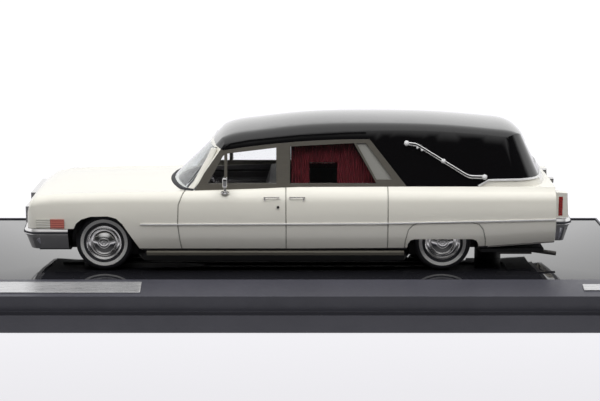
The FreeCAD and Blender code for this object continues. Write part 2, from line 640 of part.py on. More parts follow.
# ---------------------------------------------------------------------------------------------
# Chassis plate and exhaust
# ---------------------------------------------------------------------------------------------
def build_chassis():
    """Baseplate with frame rails, sump, prop shaft, tank, wheel housings and the two fixing posts."""
    body = new_body("chassis_plate")
    plan = sketch_on(body, "Plan", "XY_Plane", "Dims.plate_bottom")
    narrow = "(Dims.half_width - Dims.wheel_inset) - Dims.tyre_width - 1.2"
    wide = "Dims.half_width - 2.9"
    reach = "(Dims.tyre_radius + 1.6)"
    stations = [
        ("Dims.front_axle_x + 18", "15.5"),
        (f"Dims.front_axle_x + {reach}", "15.5"),
        (f"Dims.front_axle_x + {reach}", narrow),
        (f"Dims.front_axle_x - {reach}", narrow),
        (f"Dims.front_axle_x - {reach} - 2", wide),
        (f"{REAR_AXLE_X} + {reach} + 1.5", wide),
        (f"{REAR_AXLE_X} + {reach}", narrow),
        (f"{REAR_AXLE_X} - {reach}", narrow),
        (f"{REAR_AXLE_X} - {reach} - 1", "Dims.half_width - 4"),
        (f"{REAR_AXLE_X} - 27.5", "Dims.half_width - 4.5"),
    ]
    draw_outline(plan, stations + [(x, f"-({y})") for x, y in stations[::-1]])
    plate = pad(body, plan, "Dims.plate_thickness")

    rails = sketch_on(body, "Rails", "XY_Plane", "Dims.plate_bottom")
    for low, high in (("7", "8.6"), ("-8.6", "-7")):
        draw_outline(rails, rectangle(f"{REAR_AXLE_X} - 24", low, "Dims.front_axle_x + 15", high))
    pad(body, rails, "0.9", backwards=True)

    sump = sketch_on(body, "Sump", "XY_Plane", "Dims.plate_bottom")
    draw_outline(sump, [("Dims.front_axle_x - 2", "-4"), ("Dims.front_axle_x - 2", "4"),
                        ("Dims.front_axle_x - 17", "4"), ("Dims.front_axle_x - 26", "2.4"),
                        ("Dims.front_axle_x - 26", "-2.4"), ("Dims.front_axle_x - 17", "-4")])
    pad(body, sump, "1.5", backwards=True)
    shaft = sketch_on(body, "PropShaft", "XY_Plane", "Dims.plate_bottom")
    draw_outline(shaft, rectangle(f"{REAR_AXLE_X} + 3", "-0.8", "Dims.front_axle_x - 25", "0.8"))
    pad(body, shaft, "0.9", backwards=True)
    tank = sketch_on(body, "Tank", "XY_Plane", "Dims.plate_bottom")
    draw_outline(tank, rectangle(f"{REAR_AXLE_X} - 26", "-6", f"{REAR_AXLE_X} - 19.5", "6"))
    pad(body, tank, "1.2", backwards=True)

    # A block between each pair of wheels closes the wheel wells and carries the axle.
    for axle_x, high in (("Dims.front_axle_x", "16.6"), (REAR_AXLE_X, "12.4")):
        housing = sketch_on(body, "WheelHousing", "XY_Plane", "Dims.plate_bottom + Dims.plate_thickness")
        draw_outline(housing, rectangle(f"{axle_x} - {reach}", f"-({narrow} - 0.6)",
                                        f"{axle_x} + {reach}", f"{narrow} - 0.6"))
        pad(body, housing, f"{high} - Dims.plate_bottom - Dims.plate_thickness")
    posts = sketch_on(body, "Posts", "XY_Plane")
    for post in POSTS:
        draw_circle(posts, post, "0", "Dims.post_radius")
    pad(body, posts, "Dims.plate_bottom + 0.5")
    bores = sketch_on(body, "AxleBores", "XZ_Plane")
    for axle_x in ("Dims.front_axle_x", REAR_AXLE_X):
        draw_circle(bores, axle_x, "Dims.axle_height", "Dims.axle_radius + Dims.axle_clearance")
    pocket(body, bores, "40", midplane=True)
    threads = sketch_on(body, "ScrewHoles", "XY_Plane")
    for post in POSTS:
        draw_circle(threads, post, "0", "Dims.screw_radius + 0.01")
    pocket(body, threads, "Dims.plate_bottom - 0.6", backwards=True)
    place_in_car(body)
    return body


def build_exhaust():
    """Silencer under the left-hand floor, and a tail pipe that drops towards the rear."""
    silencer = doc.addObject("PartDesign::Body", "silencer")
    section = sketch_on(silencer, "Silencer", "YZ_Plane", f"{REAR_AXLE_X} - 25")
    draw_outline(section, rectangle("9.9", "Dims.plate_bottom - 1.8", "13.3", "Dims.plate_bottom - 0.1"))
    pad(silencer, section, "9")
    pipe = doc.addObject("Part::Cylinder", "tail_pipe")
    pipe.Radius = 0.6
    pipe.Height = 8.0
    pipe.Placement = Placement(Vector(), Rotation(Vector(0, 1, 0), -98))
    pipe.setExpression("Placement.Base.x", f"{REAR_AXLE_X} - 24")
    pipe.setExpression("Placement.Base.y", "11.6")
    pipe.setExpression("Placement.Base.z", "Dims.plate_bottom - 0.9")
    exhaust = doc.addObject("Part::Fuse", "exhaust")
    exhaust.Base = silencer
    exhaust.Tool = pipe
    keep(exhaust, "exhaust")
    place_in_car(exhaust)


# ---------------------------------------------------------------------------------------------
# Body casting, roof, frames and glazing
# ---------------------------------------------------------------------------------------------
BUMPER_TOP = 12.5
FRONT_ARCH = [(front(25.0), 0.0), (front(25.0), BUMPER_TOP + 0.1), (front(7.6), BUMPER_TOP + 0.1),
              (front(6.9), 14.1), (front(5.4), 15.3), (front(2.9), 16.0), (front(-1.6), 16.1),
              (front(-3.9), 15.5), (front(-5.5), 14.0), (front(-7.9), 10.2), (front(-10.8), 5.6),
              (front(-11.9), 0.0)]
REAR_ARCH = [(rear(11.0), 0.0), (rear(9.6), 8.4), (rear(8.9), 9.4), (rear(7.9), 9.7), (rear(-7.7), 9.7),
             (rear(-8.8), 9.3), (rear(-9.4), 8.2), (rear(-9.6), 0.0)]
DOOR_FRONT_LINE = [(front(-23.9), BELT + 1), (front(-21.7), BELT - 1.7), (front(-20.6), BELT - 4.4),
                   (front(-20.4), 14.0), (front(-20.9), 9.4), (front(-21.9), 4.0)]
DOOR_MIDDLE_LINE = [(front(-49.4), BELT + 1), (front(-49.5), 4.0)]
DOOR_REAR_LINE = [(front(-76.8), BELT + 1), (front(-76.8), 4.0)]
SKIRT_LINE = [(rear(10.7), 4.0), (rear(10.4), 9.2), (rear(9.6), 12.4), (rear(8.5), 13.7), (rear(6.9), 14.3),
              (rear(-7.2), 14.5), (rear(-9.3), 14.0), (rear(-10.5), 12.5), (rear(-11.2), 9.4),
              (rear(-11.3), 4.0)]
SPEAR_ROUTE = [(front(-10.4), 13.95), (front(-53.2), 14.1), (rear(18.0), 14.2), (rear(-30.0), 15.2)]


def build_body_shell(blocks):
    """Hollow lower casting with its cabin well, wheel openings, lamp seats and engraved shut lines."""
    body_block = blocks["body"]
    hollow = body_solid(BODY_WALL, bottom_drop=3.0, trim=BODY_WALL)
    rim = ROOF_WALL + 0.4
    cabin_well = loft([wall_wire(BELT - 4.0, rim), wall_wire(BELT + 1.0, rim)], ruled=True)
    skin = body_block.cut(body_solid(size("Dims.groove_depth")))
    shut_lines = (DOOR_FRONT_LINE, DOOR_MIDDLE_LINE, DOOR_REAR_LINE, SKIRT_LINE)
    lines = [side_prism(band(route, size("Dims.groove_width"))) for route in shut_lines]
    centre = Part.makeBox(4 * BEYOND, 2 * (HALF - 5.2), 2 * BEYOND, Vector(-2 * BEYOND, 5.2 - HALF, -BEYOND))
    grooves = skin.common(lines[0].fuse(lines[1:])).cut(centre)
    arches = side_prism(FRONT_ARCH).fuse(side_prism(REAR_ARCH))
    shell = body_block.cut(hollow).cut(cabin_well).fuse(blocks["greenhouse"].common(tail_zone()))
    seats = [front_prism(outline, front(18.0), front(25.0)) for outline in nose_openings()]
    lamp_seat = side_prism(grown(CORNERING_LAMP, SEAM)).common(body_block).cut(blocks["lens_back"])
    shell = shell.cut([arches, grooves, lamp_seat] + seats)
    return keep_shape("body_shell", shell)


def grown(outline, margin):
    """A rectangle's outline of (x, z) points, enlarged all round by a margin."""
    across = [point[0] for point in outline]
    up = [point[1] for point in outline]
    low_x, high_x = min(across) - margin, max(across) + margin
    low_z, high_z = min(up) - margin, max(up) + margin
    return [(low_x, low_z), (high_x, low_z), (high_x, high_z), (low_x, high_z)]


def nose_openings():
    """Openings in the nose for the grille and the two headlamp bezels, as (y, z) outlines."""
    grille = size("(Dims.half_width - Dims.grille_inset)") + SEAM
    outlines = [[(-grille, 0.0), (grille, 0.0), (grille, GRILLE_TOP + SEAM), (-grille, GRILLE_TOP + SEAM)]]
    low, high = BEZEL_INNER - SEAM, BEZEL_OUTER + SEAM
    for side in (1, -1):
        outlines.append([(side * low, BEZEL_LOW - SEAM), (side * high, BEZEL_LOW - SEAM),
                         (side * high, BEZEL_HIGH + SEAM), (side * low, BEZEL_HIGH + SEAM)])
    return outlines


def build_glasshouse(blocks):
    """Roof casting, window frames, quarter panels and all the glazing, split where the real ones meet."""
    greenhouse = blocks["greenhouse"]
    body_block = blocks["body"]
    doors = door_zone()
    screen = screen_zone()
    screen_opening = side_prism(SCREEN_OPENING)
    rear_opening = front_prism(REAR_OPENING, rear(-40.0), rear(-12.0))
    roof = greenhouse.cut([doors, screen, tail_zone(), body_block, rear_opening])
    keep_shape("roof_shell", roof)

    vent = side_prism(VENT_BAR)
    front_window = side_prism(FRONT_DOOR_OPENING).cut(vent)
    rear_window = side_prism(REAR_DOOR_OPENING)
    panel = side_prism(QUARTER_PANEL)
    frames = greenhouse.common(doors).cut([body_block, front_window, rear_window, panel])
    for hand, sign in (("left", 1), ("right", -1)):
        keep_shape(f"{hand}_window_frames", frames.common(half_space(sign)))
    keep_shape("quarter_panels", blocks["pane_outer"].cut(blocks["inner"]).common(panel))
    keep_shape("windscreen_frame", greenhouse.common(screen).cut([body_block, screen_opening]))

    pane = blocks["pane_outer"].cut(blocks["pane_inner"])
    keep_shape("door_glass", pane.common(front_window.fuse(rear_window)))
    keep_shape("windscreen", pane.common(screen_opening).cut(body_block))
    keep_shape("tailgate_glass", pane.common(rear_opening))


def build_surface_trim(blocks):
    """Thin strips that follow the body's surface: spears, handles, lamps, bead, drip rails, gasket."""
    skin = blocks["body_proud"].cut(blocks["body"])
    arches = side_prism(REAR_ARCH)
    spear = skin.common(side_prism(band(SPEAR_ROUTE, 0.34))).cut(arches)
    keep_shape("side_spears", spear)

    levers = [side_prism(band([(x, HANDLE_Z), (x - 4.2, HANDLE_Z)], 0.75)) for x in HANDLE_ENDS]
    keep_shape("door_handles", skin.common(levers[0].fuse(levers[1])))

    lens_skin = blocks["body_proud"].cut(blocks["lens_back"])
    split = CORNERING_SPLIT
    clear = [point if point[0] > split else (split + SEAM, point[1]) for point in CORNERING_LAMP]
    red = [point if point[0] < split else (split, point[1]) for point in CORNERING_LAMP]
    keep_shape("cornering_lenses", lens_skin.common(side_prism(clear)))
    keep_shape("marker_lenses", lens_skin.common(side_prism(red)))

    house_skin = blocks["greenhouse_proud"].cut(blocks["outer"])
    bead = house_skin.common(side_prism(band(BEAD_ROUTE + [(rear(-31.0), BELT + 3.2)], 0.5)))
    keep_shape("rear_beading", bead.cut(blocks["body"]))
    rails = house_skin.common(side_prism(band(DRIP_ROUTE, 0.5)))
    keep_shape("drip_rails", rails)

    # The gasket is a bead of even height between the hood and the foot of the windscreen.
    low, high = BELT - 1.5, BELT + 0.6
    outside, inside = -0.12, size("Dims.glass_depth - Dims.seam")
    ring = loft([wall_wire(low, outside), wall_wire(high, outside)], ruled=True).cut(
        loft([wall_wire(low, inside), wall_wire(high, inside)], ruled=True))
    ahead = Part.makeBox(BEYOND, 2 * BEYOND, 2 * BEYOND, Vector(front(-24.5), -BEYOND, -BEYOND))
    bead = ring.common(ahead).common(body_solid(-0.45))
    keep_shape("windscreen_gasket", bead.cut(blocks["body"]))


def make_blocks():
    """Solid blocks that the castings and everything seated on them are cut from."""
    proud = size("Dims.trim_proud")
    depth = size("Dims.glass_depth")
    blocks = {
        "body": body_solid(),
        "body_proud": body_solid(-proud),
        "lens_back": body_solid(size("Dims.lens_depth")),
        "outer": greenhouse_solid(),
        "greenhouse_proud": greenhouse_solid(-proud),
        "inner": greenhouse_solid(ROOF_WALL, ROOF_SECTIONS[::2], ruled=True),
        "pane_outer": wall_block(depth),
        "pane_inner": wall_block(depth + size("Dims.glass_thickness")),
    }
    blocks["greenhouse"] = blocks["outer"].cut(blocks["inner"])
    return blocks


# ---------------------------------------------------------------------------------------------
# Bumpers, grille and lamps
# ---------------------------------------------------------------------------------------------
SEAM = size("Dims.seam")
GRILLE_TOP = 20.3
BEZEL_INNER = size("(Dims.half_width - Dims.grille_inset)") + 0.6
BEZEL_OUTER = BEZEL_INNER + 2 * size("Dims.lamp_spacing") + 0.1
BEZEL_LOW = size("Dims.lamp_height - Dims.lamp_radius") - 0.3
BEZEL_HIGH = size("Dims.lamp_height + Dims.lamp_radius") + 0.3
CORNERING_LAMP = [(front(10.1), 12.8), (front(17.6), 12.8), (front(17.6), 15.2), (front(10.1), 15.2)]
CORNERING_SPLIT = front(13.8)
HANDLE_Z = BELT - 2.7
HANDLE_ENDS = (front(-43.4), front(-50.3))
DRIP_ROUTE = [(front(-32.5), BELT + 9.9), (front(-34.6), BELT + 11.2), (front(-39.7), BELT + 12.1),
              (front(-53.2), BELT + 13.4), (front(-66.7), BELT + 14.1), (front(-71.0), BELT + 14.15)]


def sweep(name, route, section):
    """Solid swept by a closed section of (outward, z) points along a flat route, as a Part::Sweep."""
    spine = doc.addObject("Part::Feature", f"{name}_route")
    spine.Shape = route
    start = route.Edges[0].valueAt(route.Edges[0].FirstParameter)
    ring = doc.addObject("Part::Feature", f"{name}_section")
    corners = [Vector(start.x, start.y - outward, z) for outward, z in section]
    ring.Shape = Part.makePolygon(corners + [corners[0]])
    swept = doc.addObject("Part::Sweep", name)
    swept.Spine = (spine, [])
    swept.Sections = [ring]
    swept.Solid = True
    swept.Transition = "Right corner"
    return swept


def bumper_route(end_x, corner_x, face_x, bow_x, side_y, corner_y):
    """Flat U from the right-hand end round the car's end to the left: side, corner, bowed face."""
    def corner_via(sign):
        reach = 0.72
        across = corner_y + (side_y - corner_y) * reach
        return Vector(corner_x + (face_x - corner_x) * reach, sign * across, 0)

    points = [Vector(end_x, -side_y, 0), Vector(corner_x, -side_y, 0), Vector(face_x, -corner_y, 0),
              Vector(face_x, corner_y, 0), Vector(corner_x, side_y, 0), Vector(end_x, side_y, 0)]
    return Part.Wire([
        line_edge(points[0], points[1]),
        arc_edge(points[1], corner_via(-1), points[2]),
        arc_edge(points[2], Vector(bow_x, 0, 0), points[3]),
        arc_edge(points[3], corner_via(1), points[4]),
        line_edge(points[4], points[5]),
    ])


def build_bumpers():
    """Chrome bumpers with a rubber strip along the blade of each."""
    proud = size("Dims.bumper_proud")
    front_route = bumper_route(front(9.2), front(16.6), front(20.8), front(21.7), HALF - 0.9, HALF - 5.0)
    rear_route = bumper_route(rear(-30.3), rear(-31.2), rear(-33.9), rear(-34.5), HALF - 2.3, HALF - 5.0)
    routes = (("front_bumper", front_route, BUMPER_TOP, BUMPER_TOP - 5.6),
              ("rear_bumper", rear_route, 15.0, 8.8))
    strips = []
    for name, route, top, low in routes:
        section = [(-1.6, top), (proud - 0.35, top), (proud, top - 0.6), (proud, top - 1.5), (0.1, top - 2.3),
                   (-1.1, low), (-2.0, low)]
        keep(sweep(name, route, section), name)
        strip = [(proud + 0.01, top - 0.75), (proud + 0.25, top - 0.85), (proud + 0.25, top - 1.25),
                 (proud + 0.01, top - 1.35)]
        strips.append(sweep(f"{name}_strip", route, strip))
    pair = doc.addObject("Part::Compound", "bumper_strips")
    pair.Links = strips
    keep(pair, "bumper_strips")
    for thing in sub_parts[-3:]:
        place_in_car(thing)


def build_grille():
    """Chrome grille: rounded header, side frames, upright and level bars before a backing plate."""
    body = new_body("grille")
    half = "(Dims.half_width - Dims.grille_inset)"
    low = f"{BUMPER_TOP + 0.15}"
    high = f"{GRILLE_TOP}"
    back = "Dims.front_axle_x + 18.4"
    frame = sketch_on(body, "Frame", "YZ_Plane", back)
    draw_outline(frame, rectangle(f"-{half}", low, half, high))
    draw_outline(frame, rectangle(f"-({half} - 0.7)", f"{low} + 0.5", f"{half} - 0.7", f"{high} - 1.5"))
    pad(body, frame, "2.3")
    plate = sketch_on(body, "Backing", "YZ_Plane", back)
    draw_outline(plate, rectangle(f"-({half} - 0.6)", f"{low} + 0.4", f"{half} - 0.6", f"{high} - 1.4"))
    pad(body, plate, "0.5")
    uprights = sketch_on(body, "Uprights", "YZ_Plane", back)
    count = 11
    for index in range(1, count):
        middle = f"({half} - 0.7) * {2 * index / count - 1:.4f}"
        draw_outline(uprights, rectangle(f"{middle} - 0.14", f"{low} + 0.4",
                                         f"{middle} + 0.14", f"{high} - 1.4"))
    pad(body, uprights, "1.9")
    levels = sketch_on(body, "Levels", "YZ_Plane", back)
    for index in (1, 2, 3):
        height = f"{low} + 0.5 + ({high} - {low} - 2.0) * {index / 4}"
        draw_outline(levels, rectangle(f"-({half} - 0.6)", f"{height} - 0.14",
                                       f"{half} - 0.6", f"{height} + 0.14"))
    pad(body, levels, "1.7")
    place_in_car(body)


def lamp_centres():
    """Distances of a pair's two headlamps from the centre plane."""
    inner = "((Dims.half_width - Dims.grille_inset) + 0.6 + Dims.lamp_spacing / 2)"
    return (inner, f"({inner} + Dims.lamp_spacing)")


def build_headlamps():
    """A bezel each side with two round lamps, and the domed lenses in it."""
    bezels = new_body("headlamp_bezels")
    back = "Dims.front_axle_x + 18.6"
    face = sketch_on(bezels, "Face", "YZ_Plane", back)
    low, high = "Dims.lamp_height - Dims.lamp_radius - 0.3", "Dims.lamp_height + Dims.lamp_radius + 0.3"
    inner = "((Dims.half_width - Dims.grille_inset) + 0.6)"
    outer = "((Dims.half_width - Dims.grille_inset) + 0.7 + 2 * Dims.lamp_spacing)"
    for sign in ("", "-"):
        draw_outline(face, rectangle(f"{sign}{inner}", low, f"{sign}{outer}", high))
        for centre in lamp_centres():
            draw_circle(face, f"{sign}{centre}", "Dims.lamp_height", "Dims.lamp_radius")
    pad(bezels, face, "2.2")
    backing = sketch_on(bezels, "Backing", "YZ_Plane", back)
    for sign in ("", "-"):
        draw_outline(backing, rectangle(f"{sign}{inner}", low, f"{sign}{outer}", high))
    pad(bezels, backing, "0.6")
    place_in_car(bezels)

    lenses = []
    radius = size("Dims.lamp_radius - Dims.seam")
    base = size(back) + 0.65
    for centre in lamp_centres():
        for side in (1, -1):
            middle = Vector(base, side * size(centre), size("Dims.lamp_height"))
            dome = Part.makeSphere(2.6 * radius, middle + Vector(1.35 - 2.6 * radius, 0, 0), Vector(1, 0, 0))
            lenses.append(Part.makeCylinder(radius, 3.0, middle, Vector(1, 0, 0)).common(dome))
    keep_shape("headlamp_lenses", Part.makeCompound(lenses))


def build_tail_lamps():
    """Upright chrome fins with a slim red lens in the side and another in the rear face."""
    top, low = BELT - 1.5, 15.4
    inner, outer = HALF - 5.6, HALF - 2.1
    front_x, top_x, low_x = rear(-30.05), rear(-33.1), rear(-33.5)
    fins, lenses = [], []
    lens_x = (rear(-31.9), rear(-30.8))
    lens_y = (outer - 2.3, outer - 0.9)
    for side in (1, -1):
        fin = side_prism([(front_x, low), (front_x, top + 0.2), (top_x, top), (low_x, low)],
                         min(side * inner, side * outer), max(side * inner, side * outer))
        side_seat = Part.makeBox(lens_x[1] - lens_x[0], 0.4, 5.2, Vector(lens_x[0], outer - 0.4, low + 0.5))
        rear_seat = Part.makeBox(3.0, lens_y[1] - lens_y[0], 5.4, Vector(low_x - 2.1, lens_y[0], low + 0.5))
        if side < 0:
            side_seat = side_seat.mirror(Vector(), Vector(0, 1, 0))
            rear_seat = rear_seat.mirror(Vector(), Vector(0, 1, 0))
        proud = side_seat.fuse(rear_seat)
        fins.append(fin.cut(proud))
        lenses += [side_seat, fin.common(rear_seat)]
    keep_shape("tail_lamp_housings", Part.makeCompound(fins))
    keep_shape("tail_lamp_lenses", Part.makeCompound(lenses))


def build_tailgate_knobs():
    """Two round chrome lamps on the rear edge, either side of the tailgate."""
    knobs = [Part.makeCylinder(0.85, 1.3, Vector(rear(-30.0), side * 7.0, BELT - 0.4), Vector(-1, 0, 0))
             for side in (1, -1)]
    keep_shape("tailgate_lamps", Part.makeCompound(knobs))


# ---------------------------------------------------------------------------------------------
# Landau bars, mirrors and rocker trims
# ---------------------------------------------------------------------------------------------
def wall_y(height):
    """Half width of the greenhouse's flat side at a height."""
    return plan_point("pillar", height, 0.0).y


def wall_slab(outline, out, thickness, side):
    """Slab parallel to the greenhouse's side, whose inner face lies the distance out from it."""
    points = [Vector(x, side * (wall_y(z) + out), z) for x, z in outline]
    return polygon_face(points).extrude(Vector(0, side * thickness, 0))


LANDAU_ROUTE = [(rear(10.0), BELT + 11.4), (rear(6.6), BELT + 10.8), (rear(-6.6), BELT + 2.6),
                (rear(-10.5), BELT + 2.5)]


def build_landau_bars():
    """S-shaped bars with a knob at each end, a hinge block in the middle and a groove along them."""
    (ax, az), (bx, bz) = LANDAU_ROUTE[1], LANDAU_ROUTE[2]
    hinge = (ax * 0.55 + bx * 0.45, az * 0.55 + bz * 0.45)
    along = Vector(bx - ax, 0, bz - az).normalize()
    hinge_route = [(hinge[0] - along.x * s, hinge[1] - along.z * s) for s in (0.9, -0.9)]
    bars = []
    for side in (1, -1):
        bar = wall_slab(band(LANDAU_ROUTE, 0.95), 0.15, 0.5, side)
        bar = bar.cut(wall_slab(band(LANDAU_ROUTE, 0.3), 0.45, 0.5, side))
        bar = bar.fuse(wall_slab(band(hinge_route, 1.3), 0.03, 0.85, side))
        for x, z in (LANDAU_ROUTE[0], LANDAU_ROUTE[-1]):
            base = Vector(x, side * (wall_y(z) + 0.03), z)
            bar = bar.fuse(Part.makeCylinder(0.85, 0.95, base, Vector(0, side, 0.2454)))
        bars.append(bar)
    keep_shape("landau_bars", Part.makeCompound(bars))


def build_mirrors():
    """Door mirrors: a foot on the door top, a stalk and a flat head facing the driver."""
    mirrors = []
    x, y, z = front(-33.1), HALF - 1.9, BELT - 1.35
    face = [(0.4, 0.0), (2.2, 0.0), (2.6, 0.5), (2.6, 1.9), (2.2, 2.4), (0.4, 2.4), (0.0, 1.9), (0.0, 0.5)]
    for side in (1, -1):
        foot = [(x - 1.2, z), (x + 1.2, z), (x + 0.8, z + 0.9), (x - 0.8, z + 0.9)]
        low, high = sorted((side * (y - 0.4), side * (y + 0.9)))
        piece = side_prism(foot, low, high)
        stalk = [(x - 0.3, z + 0.5), (x + 0.3, z + 0.5), (x + 0.3, z + 2.2), (x - 0.3, z + 2.2)]
        low, high = sorted((side * (y + 0.1), side * (y + 0.7)))
        piece = piece.fuse(side_prism(stalk, low, high))
        head = [(side * (y - 0.3 + across), z + 1.8 + up) for across, up in face]
        mirrors.append(piece.fuse(front_prism(head, x - 0.4, x + 0.4)))
    return mirrors


def build_rocker_trims():
    """Bright mouldings under the doors, from wheel opening to wheel opening."""
    body = new_body("rocker_trims")
    section = sketch_on(body, "Section", "YZ_Plane", f"{REAR_AXLE_X} + 10.6")
    moulding = ((2.85, 0.7), (1.6, 0.7), (1.4, 1.1), (1.6, 1.9), (2.3, 2.1), (2.85, 1.8))
    for sign in ("", "-"):
        draw_outline(section, [(f"{sign}(Dims.half_width - {inset})", f"Dims.foot_height - {drop}")
                               for inset, drop in moulding])
    pad(body, section, "Dims.wheelbase - 22.4")
    place_in_car(body)


# ---------------------------------------------------------------------------------------------
# Cabin and load space
# ---------------------------------------------------------------------------------------------
def build_cabin():
    """Cabin tub, bench, dashboard, door cards, steering wheel and the partition behind the driver."""
    floor = new_body("cabin_floor")
    profile = sketch_on(floor, "Profile", "XZ_Plane")
    draw_outline(profile, [
        ("Dims.front_axle_x - 48.7", "Dims.floor_height - 0.8"),
        ("Dims.front_axle_x - 19.4", "Dims.floor_height - 0.8"),
        ("Dims.front_axle_x - 19.4", "Dims.belt_height - 4.4"),
        ("Dims.front_axle_x - 20.2", "Dims.belt_height - 4.4"),
        ("Dims.front_axle_x - 20.2", "Dims.floor_height"),
        ("Dims.front_axle_x - 48.7", "Dims.floor_height"),
    ])
    pad(floor, profile, "2 * (Dims.half_width - 2.4)", midplane=True)
    place_in_car(floor)

    seat = new_body("front_seat")
    profile = sketch_on(seat, "Profile", "XZ_Plane")
    bench = ((46.8, 0.05), (34.6, 0.05), (34.2, 3.6), (35.4, 4.7), (42.6, 4.2), (44.8, 11.6), (46.6, 12.0),
             (47.6, 11.2))
    draw_outline(profile, [(f"Dims.front_axle_x - {back}", f"Dims.floor_height + {up}")
                           for back, up in bench])
    pad(seat, profile, "2 * (Dims.half_width - Dims.seat_inset)", midplane=True)
    place_in_car(seat)

    dash = new_body("dashboard")
    profile = sketch_on(dash, "Profile", "XZ_Plane")
    hood = ((20.3, 6.4), (20.3, 3.1), (23.5, 2.0), (26.6, 2.2), (27.3, 4.2), (25.4, 6.4))
    draw_outline(profile, [(f"Dims.front_axle_x - {back}", f"Dims.belt_height - {down}")
                           for back, down in hood])
    pad(dash, profile, "2 * (Dims.half_width - 5.2)", midplane=True)
    place_in_car(dash)

    cards = new_body("door_cards")
    section = sketch_on(cards, "Section", "YZ_Plane", "Dims.front_axle_x - 48.3")
    card = ((2.6, 11.4), (2.05, 11.4), (2.05, 4.6), (3.7, 2.8), (4.3, 2.8), (2.6, 4.7))
    for sign in ("", "-"):
        draw_outline(section, [(f"{sign}(Dims.half_width - {inset})", f"Dims.belt_height - {down}")
                               for inset, down in card])
    pad(cards, section, "26.8")
    rests = sketch_on(cards, "Armrests", "XY_Plane", "Dims.belt_height - 6.4")
    for sign in ("", "-"):
        draw_outline(rests, rectangle("Dims.front_axle_x - 44", f"{sign}(Dims.half_width - 4.4)",
                                      "Dims.front_axle_x - 32", f"{sign}(Dims.half_width - 2.5)"))
    pad(cards, rests, "1")
    place_in_car(cards)

    wheel_centre = Vector(front(-30.6), 8.6, BELT - 1.3)
    lean = Vector(-0.82, 0, 0.57)
    rim = Part.makeCylinder(3.6, 0.55, wheel_centre - lean * 0.28, lean)
    rim = rim.cut(Part.makeCylinder(3.05, 2.0, wheel_centre - lean, lean))
    column = Part.makeCylinder(0.45, 4.0, wheel_centre - lean * 3.9, lean)
    spokes = Part.makeBox(0.5, 6.8, 0.7, Vector(-0.25, -3.4, -0.35))
    spokes.Placement = Placement(wheel_centre, Rotation(Vector(1, 0, 0), lean))
    keep_shape("steering_wheel", rim.fuse([column, spokes]))

    wall = new_body("partition")
    profile = sketch_on(wall, "Profile", "YZ_Plane", "Dims.front_axle_x - 50.0")
    edge = [(f"Dims.half_width - {inset}", f"Dims.belt_height + {up}") for inset, up in (
        (2.3, -12.6), (2.1, -4.5), (4.2, -2.7), (5.6, -2.5), (5.7, 1.0), (7.9, 11.0))]
    draw_outline(profile, edge + [(f"-({y})", z) for y, z in edge[::-1]])
    pad(wall, profile, "1")
    place_in_car(wall)


def build_load_space():
    """Casket deck with its skid strips, and a window curtain each side."""
    deck = new_body("casket_deck")
    plan = sketch_on(deck, "Plan", "XY_Plane", "Dims.deck_height - 0.8")
    draw_outline(plan, rectangle(f"{REAR_AXLE_X} - 27", "-(Dims.half_width - 2.5)",
                                 "Dims.front_axle_x - 50.3", "Dims.half_width - 2.5"))
    pad(deck, plan, "0.8")
    strips = sketch_on(deck, "SkidStrips", "XY_Plane", "Dims.deck_height")
    for middle in ("-9", "-3", "3", "9"):
        draw_outline(strips, rectangle(f"{REAR_AXLE_X} - 26", f"{middle} - 0.4", "Dims.front_axle_x - 51",
                                       f"{middle} + 0.4"))
    pad(deck, strips, "0.4")
    place_in_car(deck)

    curtains = []
    outline = [(front(-50.8), BELT - 1.5), (front(-50.8), BELT + 11.0), (front(-67.0), BELT + 11.6),
               (front(-75.8), BELT - 1.5)]
    opening = [(front(-55.6), BELT + 0.2), (front(-55.6), BELT + 6.3), (front(-63.2), BELT + 6.3),
               (front(-63.2), BELT + 0.2)]
    for side in (1, -1):
        panel = wall_slab(outline, -2.6, 0.8, side)
        curtains.append(panel.cut(wall_slab(opening, -3.2, 3.0, side)))
    keep_shape("curtains", Part.makeCompound(curtains))


build_plinth()
build_slope_plate("name_plate", size("Dims.car_shift_x") + 66.0, 48.0, 5.9)
build_slope_plate("number_plate", size("Dims.car_shift_x") - 82.3, 15.0, 3.3)
build_screws()
build_running_gear()
build_chassis()
build_exhaust()
BLOCKS = make_blocks()
build_body_shell(BLOCKS)
build_glasshouse(BLOCKS)
build_surface_trim(BLOCKS)
build_bumpers()
build_grille()
build_headlamps()
build_tail_lamps()
build_tailgate_knobs()
build_landau_bars()
keep_shape("door_mirrors", Part.makeCompound(build_mirrors()).cut(BLOCKS["body"]))
build_rocker_trims()
build_cabin()
build_load_space()
doc.recompute()

# ---------------------------------------------------------------------------------------------
# Check and write
# ---------------------------------------------------------------------------------------------
for thing in doc.Objects:
    if "Invalid" in thing.State or "Error" in thing.State:
        raise RuntimeError(f"{thing.Name} ({thing.Label}) did not recompute: {thing.State}")
for part in sub_parts:
    if part.Shape.isNull() or not part.Shape.isValid() or not part.Shape.Solids:
        raise RuntimeError(f"{part.Label} has no valid solid")

os.makedirs("parts", exist_ok=True)
for part in sub_parts:
    part.Shape.exportStep(f"parts/{part.Label}.step")
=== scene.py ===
"""Finishes, fine pieces and studio for a 1:43 landau hearse on its display plinth."""
import math
from functools import partial

import bpy
from bpy.props import FloatProperty, FloatVectorProperty, IntProperty, PointerProperty
from bpy.types import Node, NodeSocket, Operator, Panel, PropertyGroup
from mathutils import Matrix, Vector


